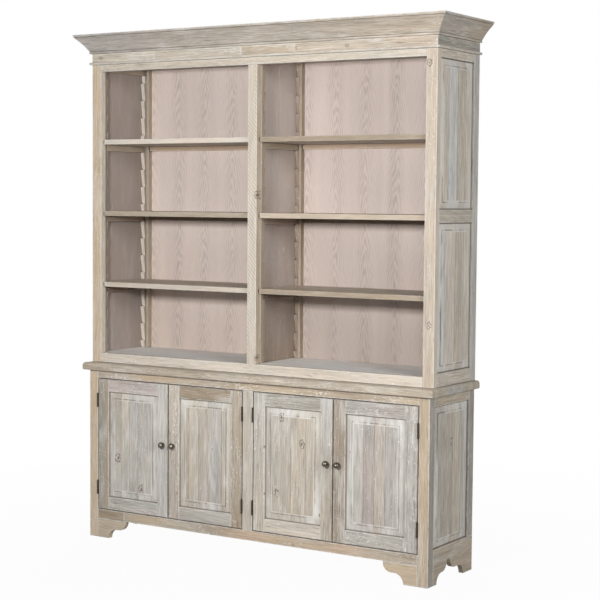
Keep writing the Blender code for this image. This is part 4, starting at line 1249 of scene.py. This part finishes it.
def bead_section():
    radius = BEAD_HEIGHT / 2
    middle, flat = Z_BEAD + radius, BEAD_OUT - radius
    arc = [(flat + radius * sin(pi * share), middle - radius * cos(pi * share)) for share in HALF_TURN]
    return [(GAP, middle + radius), (GAP, middle - radius)] + arc


def frieze_section():
    top = Z_CROWN - GAP
    return [(-CORNICE_WALL, top), (-CORNICE_WALL, Z_BEAD), (0, Z_BEAD), (0, top)]


# %% Mitred runs
LEFT_REAR = ((-X_UPPER, Y_BACK), (-1, 0))
LEFT_MITRE = ((-X_UPPER, Y_UPPER), (-1, -1))
RIGHT_MITRE = ((X_UPPER, Y_UPPER), (1, -1))
RIGHT_REAR = ((X_UPPER, Y_BACK), (1, 0))


def run(shape, section, start, end, along, tint, flecks=FLECKS, knots=()):
    """A moulding between two stations; a station is a point on the carcass and the way out from it."""
    rings = []
    for (x, y), way in (start, end):
        ring = [shape.verts.new((x + out * way[0], y + out * way[1], up)) for out, up in section]
        rings.append([shape.edges.new(pair) for pair in zip(ring, ring[1:] + ring[:1])])
    bmesh.ops.bridge_loops(shape, edges=rings[0] + rings[1])
    for ring in rings:
        bmesh.ops.contextual_create(shape, geom=ring)
    bmesh.ops.recalc_face_normals(shape, faces=faces_of(fresh(shape)))
    ease_edges(shape, EASE / 2)
    label_outline(shape, along, tint, flecks, knots, wide="Z")


# %% Cornice
DUST_BOARD = 0.012
CROWN_TINT = fading(LILAC, ROSE, DRIFT, MAUVE, STRAW, DRIFT)
FRIEZE_JOINTS = (-0.528, -0.061, 0.211)
FRIEZE_TINTS = (CREAM, CREAM, STRAW, WHEAT)
FRIEZE_NAILS = ((-0.828, 2.178), (-0.061, 2.170), (0.2135, 2.176), (0.463, 2.1755), (0.7305, 2.177))
NAIL = 0.006

for name, section, tint in (("crown", crown_section(), CROWN_TINT), ("bead", bead_section(), CREAM)):
    with piece(f"cornice_{name}", [LIMED], "limed_pine", "cornice") as shape:
        run(shape, section, LEFT_REAR, LEFT_MITRE, "Y", tint)
        run(shape, section, LEFT_MITRE, RIGHT_MITRE, "X", tint)
        run(shape, section, RIGHT_MITRE, RIGHT_REAR, "Y", tint)
section = frieze_section()
stations = [LEFT_MITRE] + [((joint, Y_UPPER), (0, -1)) for joint in FRIEZE_JOINTS] + [RIGHT_MITRE]
with piece("cornice_frieze", [LIMED], "limed_pine", "cornice") as shape:
    run(shape, section, LEFT_REAR, LEFT_MITRE, "Y", ASH)
    run(shape, section, RIGHT_MITRE, RIGHT_REAR, "Y", ASH)
    for start, end, tint in zip(stations, stations[1:], FRIEZE_TINTS):
        nails = [(across, up, NAIL) for across, up in FRIEZE_NAILS if start[0][0] < across < end[0][0]]
        run(shape, section, start, end, "X", tint, flecks=0.4, knots=nails)
inside = X_UPPER - CORNICE_WALL - GAP
low = Vector((-inside, Y_UPPER + CORNICE_WALL + GAP, Z_BEAD + GAP))
high = Vector((inside, Y_BACK - 4 * GAP, low.z + DUST_BOARD))
with piece("cornice_dust_boards", [INNER], "inner_pine", "cornice") as shape:
    planked(shape, low, high, "X", "Y", FLOOR_BOARDS, (FAWN, DRIFT, FAWN))

# %% [markdown]
# ## Shelf racks
# The shelves lie on loose cleats, and the cleats drop into racks with saw-tooth notches at the front and back
# of each bay. A rack's edge is only a ledge and a ramp, repeated, so its outline comes from a loop.

# %% Racks and cleats
RACK_DEPTH = 0.030
TOOTH_PITCH = 0.0805
TOOTH_DEPTH = 0.012
FIRST_NOTCH = 0.0325
CLEAT_HEIGHT = 0.027
FIRST_SHELF_NOTCH = 3
NOTCHES_PER_SHELF = 4
SHELVES = 3
HEAD_CLEAT = 0.005
# the cleats under the two lower shelves are darker: painted shade
CLEAT_TINTS = (SHADOW_BROWN, BARK, FAWN)
Z_NOTCH = Z_BAY_LOW + FIRST_NOTCH
RACKS = {
    # rear rack, head cleat
    "left_bay_left": (IVORY, FAWN), "left_bay_right": (CREAM, None),
    "right_bay_left": (BARK, None), "right_bay_right": (DRIFT, FAWN),
}


def rack_outline(back, tip, low, high):
    """Up the straight back, then down the teeth."""
    root = tip + (TOOTH_DEPTH if back > tip else -TOOTH_DEPTH)
    teeth = [(root + (tip - root) * ((low - Z_NOTCH) % TOOTH_PITCH) / TOOTH_PITCH, low)]
    ledge = Z_NOTCH
    while ledge < high:
        teeth += [(tip, ledge), (root, ledge)]
        ledge += TOOTH_PITCH
    teeth.append((root + (tip - root) * (1 - (ledge - high) / TOOTH_PITCH), high))
    return [(back, low), (back, high)] + teeth[::-1]


for word, (rear_tint, head_tint) in RACKS.items():
    name = f"shelf_rack_{word}"
    low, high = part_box(name)
    front, rear = low.y + RACK_DEPTH, high.y - RACK_DEPTH
    top = Z_BAY_HIGH + HEAD_CLEAT if head_tint else high.z
    with piece(f"{name}_boards", [INNER], "inner_pine", name) as shape:
        if head_tint:
            board(shape, (low.x, low.y, top + GAP), high, "Y", head_tint)
        # the front racks take a darker brown: painted shade behind the stiles
        for back, tip, tint in ((low.y, front, UMBER), (high.y, rear, rear_tint)):
            outline = rack_outline(back, tip, low.z, top)
            sawn(shape, outline, "Y", "X", low.x, RACK_THICKNESS, "Z", tint, ease=EASE / 2)
        for number, tint in enumerate(CLEAT_TINTS):
            ledge = Z_NOTCH + (FIRST_SHELF_NOTCH + number * NOTCHES_PER_SHELF) * TOOTH_PITCH
            start = (low.x, front - TOOTH_DEPTH + GAP, ledge + GAP)
            end = (high.x, rear + TOOTH_DEPTH - GAP, ledge + CLEAT_HEIGHT)
            board(shape, start, end, "Y", tint, slope=TOOTH_DEPTH / TOOTH_PITCH)

# %% [markdown]
# ## Shelves
# A shelf is four boards glued edge to edge. It is wider between the racks than in front of them. Its corners
# could be notched after gluing, but each board is cut to its own length here, which comes to the same. A
# batten stiffens the rear edge.

# %% Shelves
SHELF_THICKNESS = 0.022
SHELF_END_GAP = 0.006
SHELF_PLAY = 0.0015
BATTEN_DEPTH = 0.018
SHELF_TINTS = (DRIFT, ROSE, DRIFT)
SHELF_FRONTS = {"left": (CREAM, FAWN, IVORY), "right": (UMBER, STRAW, UMBER)}
# the battens under the two lower shelves are darker: painted shade
BATTEN_TINTS = (SHADOW_BROWN, SHADOW_BROWN, PEACH)
RACK_LOW, RACK_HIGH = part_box("shelf_rack_left_bay_left")


def make_shelf(name, left, right, front_tint, batten_tint):
    """A shelf between two sides of a bay; a side is where its wall, its frame and its strip end."""
    low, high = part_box(name)
    bottom = high.z - SHELF_THICKNESS
    front, rear = RACK_LOW.y + RACK_DEPTH + SHELF_PLAY, RACK_HIGH.y - RACK_DEPTH - SHELF_PLAY
    middle = (front + rear) / 2
    wall, reveal, strip = zip(left, right)
    bands = (
        (low.y, front, reveal, SHELF_END_GAP), (front + GAP, middle, wall, SHELF_PLAY),
        (middle + GAP, rear, wall, SHELF_PLAY), (rear + GAP, high.y, strip, SHELF_PLAY),
    )
    with piece(f"{name}_boards", [INNER], "limed_pine", name) as shape:
        for (y_low, y_high, ends, play), tint in zip(bands, (front_tint, *SHELF_TINTS)):
            start, end = ends[0] + play, ends[1] - play
            board(shape, (start, y_low, bottom), (end, y_high, high.z), "X", tint, flecks=0.15)
        corner = (start, high.y - BATTEN_DEPTH, low.z)
        board(shape, corner, (end, high.y - GAP, bottom - GAP), "X", batten_tint)


outer_side = (X_WALL, X_OPENING, X_OUTER_STRIP)
inner_side = (DIVIDER_HIGH.x, UPPER_CENTRE_STILE / 2, X_INNER_STRIP + STRIP_WIDTH)
bays = {
    "left": ([-place for place in outer_side], [-place for place in inner_side]),
    "right": (inner_side, outer_side),
}
for word, (left, right) in bays.items():
    for number in range(SHELVES):
        tints = SHELF_FRONTS[word][number], BATTEN_TINTS[number]
        make_shelf(f"shelf_{word}_{number + 1}", left, right, *tints)

# %% [markdown]
# ## Doors
# Each door has two full-height stiles, two rails between them and a staved panel. The boards were picked as
# they came, so grey, cream and tan lie side by side. One loop makes all four doors, and a table says which
# boards each of them got.

# %% Doors
DOOR_STILE = 0.058
DOOR_FLECKS = 0.45
DOOR_LOOKS = {
    # left stile, right stile, top rail and bottom rail with their knots, then the staves
    1: (
        (fading(ASH, FAWN, axis=0),), (FROST,), (DUSK,), (fading(PEARL, FROST),),
        (
            (1.0, fading(FROST, FROST, DRIFT), (-0.712, 0.375, 0.014)), (0.6, fading(FROST, OAT, CREAM)),
            (0.6, fading(PEARL, FROST)), (1.5, fading(FROST, FROST, PEARL), (-0.580, 0.245, 0.014)),
        ),
    ),
    2: (
        (fading(ROSE, CREAM), (-0.4144, 0.5104, 0.003), (-0.3784, 0.2464, 0.005)),
        (fading(UMBER, DRIFT), (-0.0449, 0.3294, 0.003)), (UMBER, (-0.257, 0.714, 0.007)), (PEARL,),
        (
            (0.8, fading(DRIFT, OAT)), (0.7, fading(OAT, CREAM)), (0.6, fading(ROSE, ROSE, OAT)),
            (1.0, fading(LILAC, FROST), (-0.188, 0.463, 0.004)), (0.8, fading(SAND, OAT)),
        ),
    ),
    3: (
        (fading(CREAM, FROST), (0.086, 0.4985, 0.004), (0.086, 0.2964, 0.004)),
        (fading(DRIFT, FROST),), (ASH,), (LINEN,),
        (
            (1.5, fading(SAND, SAND, PEARL), (0.170, 0.633, 0.011), (0.150, 0.306, 0.011)),
            (0.8, fading(OAT, WHEAT, OAT), (0.273, 0.528, 0.012)),
            (0.9, fading(SAND, DRIFT, OAT), (0.3605, 0.235, 0.004)),
        ),
    ),
    4: (
        (TAUPE,), (fading(LILAC, PEARL),), (LILAC,), (PEARL,),
        (
            (1.1, fading(PEARL, FROST), (0.505, 0.515, 0.003)), (0.6, fading(MAUVE, LILAC)), (0.6, ROSE),
            (1.2, fading(PEARL, LILAC)),
        ),
    ),
}

for number, (*frame_looks, staves) in DOOR_LOOKS.items():
    body = f"door_{number}"
    low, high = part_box(f"{body}_frame")
    left, right = low.x + DOOR_STILE, high.x - DOOR_STILE
    members = (
        (low, (left - GAP, high.y, high.z), "Z"),
        ((right + GAP, low.y, low.z), high, "Z"),
        ((left, low.y, high.z - DOOR_STILE), (right, high.y, high.z), "X"),
        ((left, low.y, low.z), (right, high.y, low.z + DOOR_STILE), "X"),
    )
    with piece(f"{body}_frame_boards", [LIMED], "limed_pine", f"{body}_frame", body) as shape:
        for (start, end, along), (tint, *knots) in zip(members, frame_looks):
            board(shape, start, end, along, tint, DOOR_FLECKS, knots, rim=(low, high))
    with piece(f"{body}_panel_staves", [PANELLED], "limed_pine", f"{body}_panel", body) as shape:
        staved_panel(shape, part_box(f"{body}_panel"), -UNITS["Y"], staves)

# %% [markdown]
# ## Knobs and hinges
# The knobs are cast brass balls, darkened by age and rubbed bright where hands touch them. A turned shape is
# a profile spun about its axis, so that is how each one is made. The butt hinges are blackened iron, and only
# their barrels show while the doors are shut, so their solids only get the finish.

# %% Metal finishes
TARNISH = 0.15


def metal_material(name, dark, bright, roughness, patch):
    material, nodes, shader = new_material(name)
    spots = nodes.spread(nodes.add("TexCoord", None, "Object"), (patch, patch, patch), 0, 1, 4)
    rough = nodes.add("MapRange", {"Value": spots, "To Min": roughness + TARNISH, "To Max": roughness})
    colour = nodes.mix(spots, (*dark, 1), (*bright, 1))
    dress(nodes, shader, colour, rough, spots, strength=0.15, depth=0.0003)
    shader["Metallic"].default_value = 1.0
    return material


IRON = metal_material("dark_iron", (0.035, 0.028, 0.022), (0.09, 0.075, 0.06), 0.42, 220)
BRASS = metal_material("antique_brass", (0.05, 0.042, 0.033), (0.24, 0.21, 0.165), 0.16, 90)
print("metals:", IRON.name, "and", BRASS.name)

# %% Knobs
KNOB_RADIUS = 0.0135
KNOB_NECK = 0.0055
KNOB_ROSE = 0.0085
KNOB_ROSE_HEIGHT = 0.003
KNOB_EASE = 0.0005
KNOB_SPIGOT = 0.0038
KNOB_STEPS = 40
BALL_STEPS = 24
KNOB_SHARP = radians(40)


def knob_profile(spigot):
    """Radius and height of the turned shape, from the crown of the ball down to the spigot's end."""
    middle = KNOB_ROSE_HEIGHT + KNOB_EASE + KNOB_RADIUS
    neck = pi - asin(KNOB_NECK / KNOB_RADIUS)
    turns = [neck * step / BALL_STEPS for step in range(BALL_STEPS + 1)]
    ball = [(KNOB_RADIUS * sin(turn), middle + KNOB_RADIUS * cos(turn)) for turn in turns]
    rose = [(KNOB_ROSE - KNOB_EASE, KNOB_ROSE_HEIGHT), (KNOB_ROSE, KNOB_ROSE_HEIGHT - KNOB_EASE)]
    return ball + rose + [(KNOB_ROSE, 0), (KNOB_SPIGOT, 0), (KNOB_SPIGOT, -spigot), (0, -spigot)]


for number in DOOR_LOOKS:
    body = f"door_{number}"
    low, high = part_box(f"{body}_knob")
    seat = Vector(((low.x + high.x) / 2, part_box(f"{body}_frame")[0].y - GAP, (low.z + high.z) / 2))
    shape = bmesh.new()
    verts = [shape.verts.new((radius, 0, up)) for radius, up in knob_profile(high.y - seat.y)]
    geom = verts + [shape.edges.new(pair) for pair in zip(verts, verts[1:])]
    lathe = {"cent": (0, 0, 0), "axis": (0, 0, 1), "angle": 2 * pi, "steps": KNOB_STEPS}
    bmesh.ops.spin(shape, geom=geom, use_merge=True, **lathe)
    bmesh.ops.remove_doubles(shape, verts=shape.verts, dist=GAP / 10)
    bmesh.ops.recalc_face_normals(shape, faces=shape.faces)
    turn = Matrix.Translation(seat) @ Matrix.Rotation(pi / 2, 4, "X")
    bmesh.ops.transform(shape, matrix=turn, verts=shape.verts)
    knob = close_piece(shape, f"{body}_turned_knob", [BRASS], f"{body}_knob", body)
    knob.data.shade_smooth()
    knob.data.set_sharp_from_angle(angle=KNOB_SHARP)

# %% Hinges
hinges = [node for name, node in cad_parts.items() if "hinge" in name]
for hinge in hinges:
    hinge.data.materials.clear()
    hinge.data.materials.append(IRON)
print("hinge leaves:", len(hinges))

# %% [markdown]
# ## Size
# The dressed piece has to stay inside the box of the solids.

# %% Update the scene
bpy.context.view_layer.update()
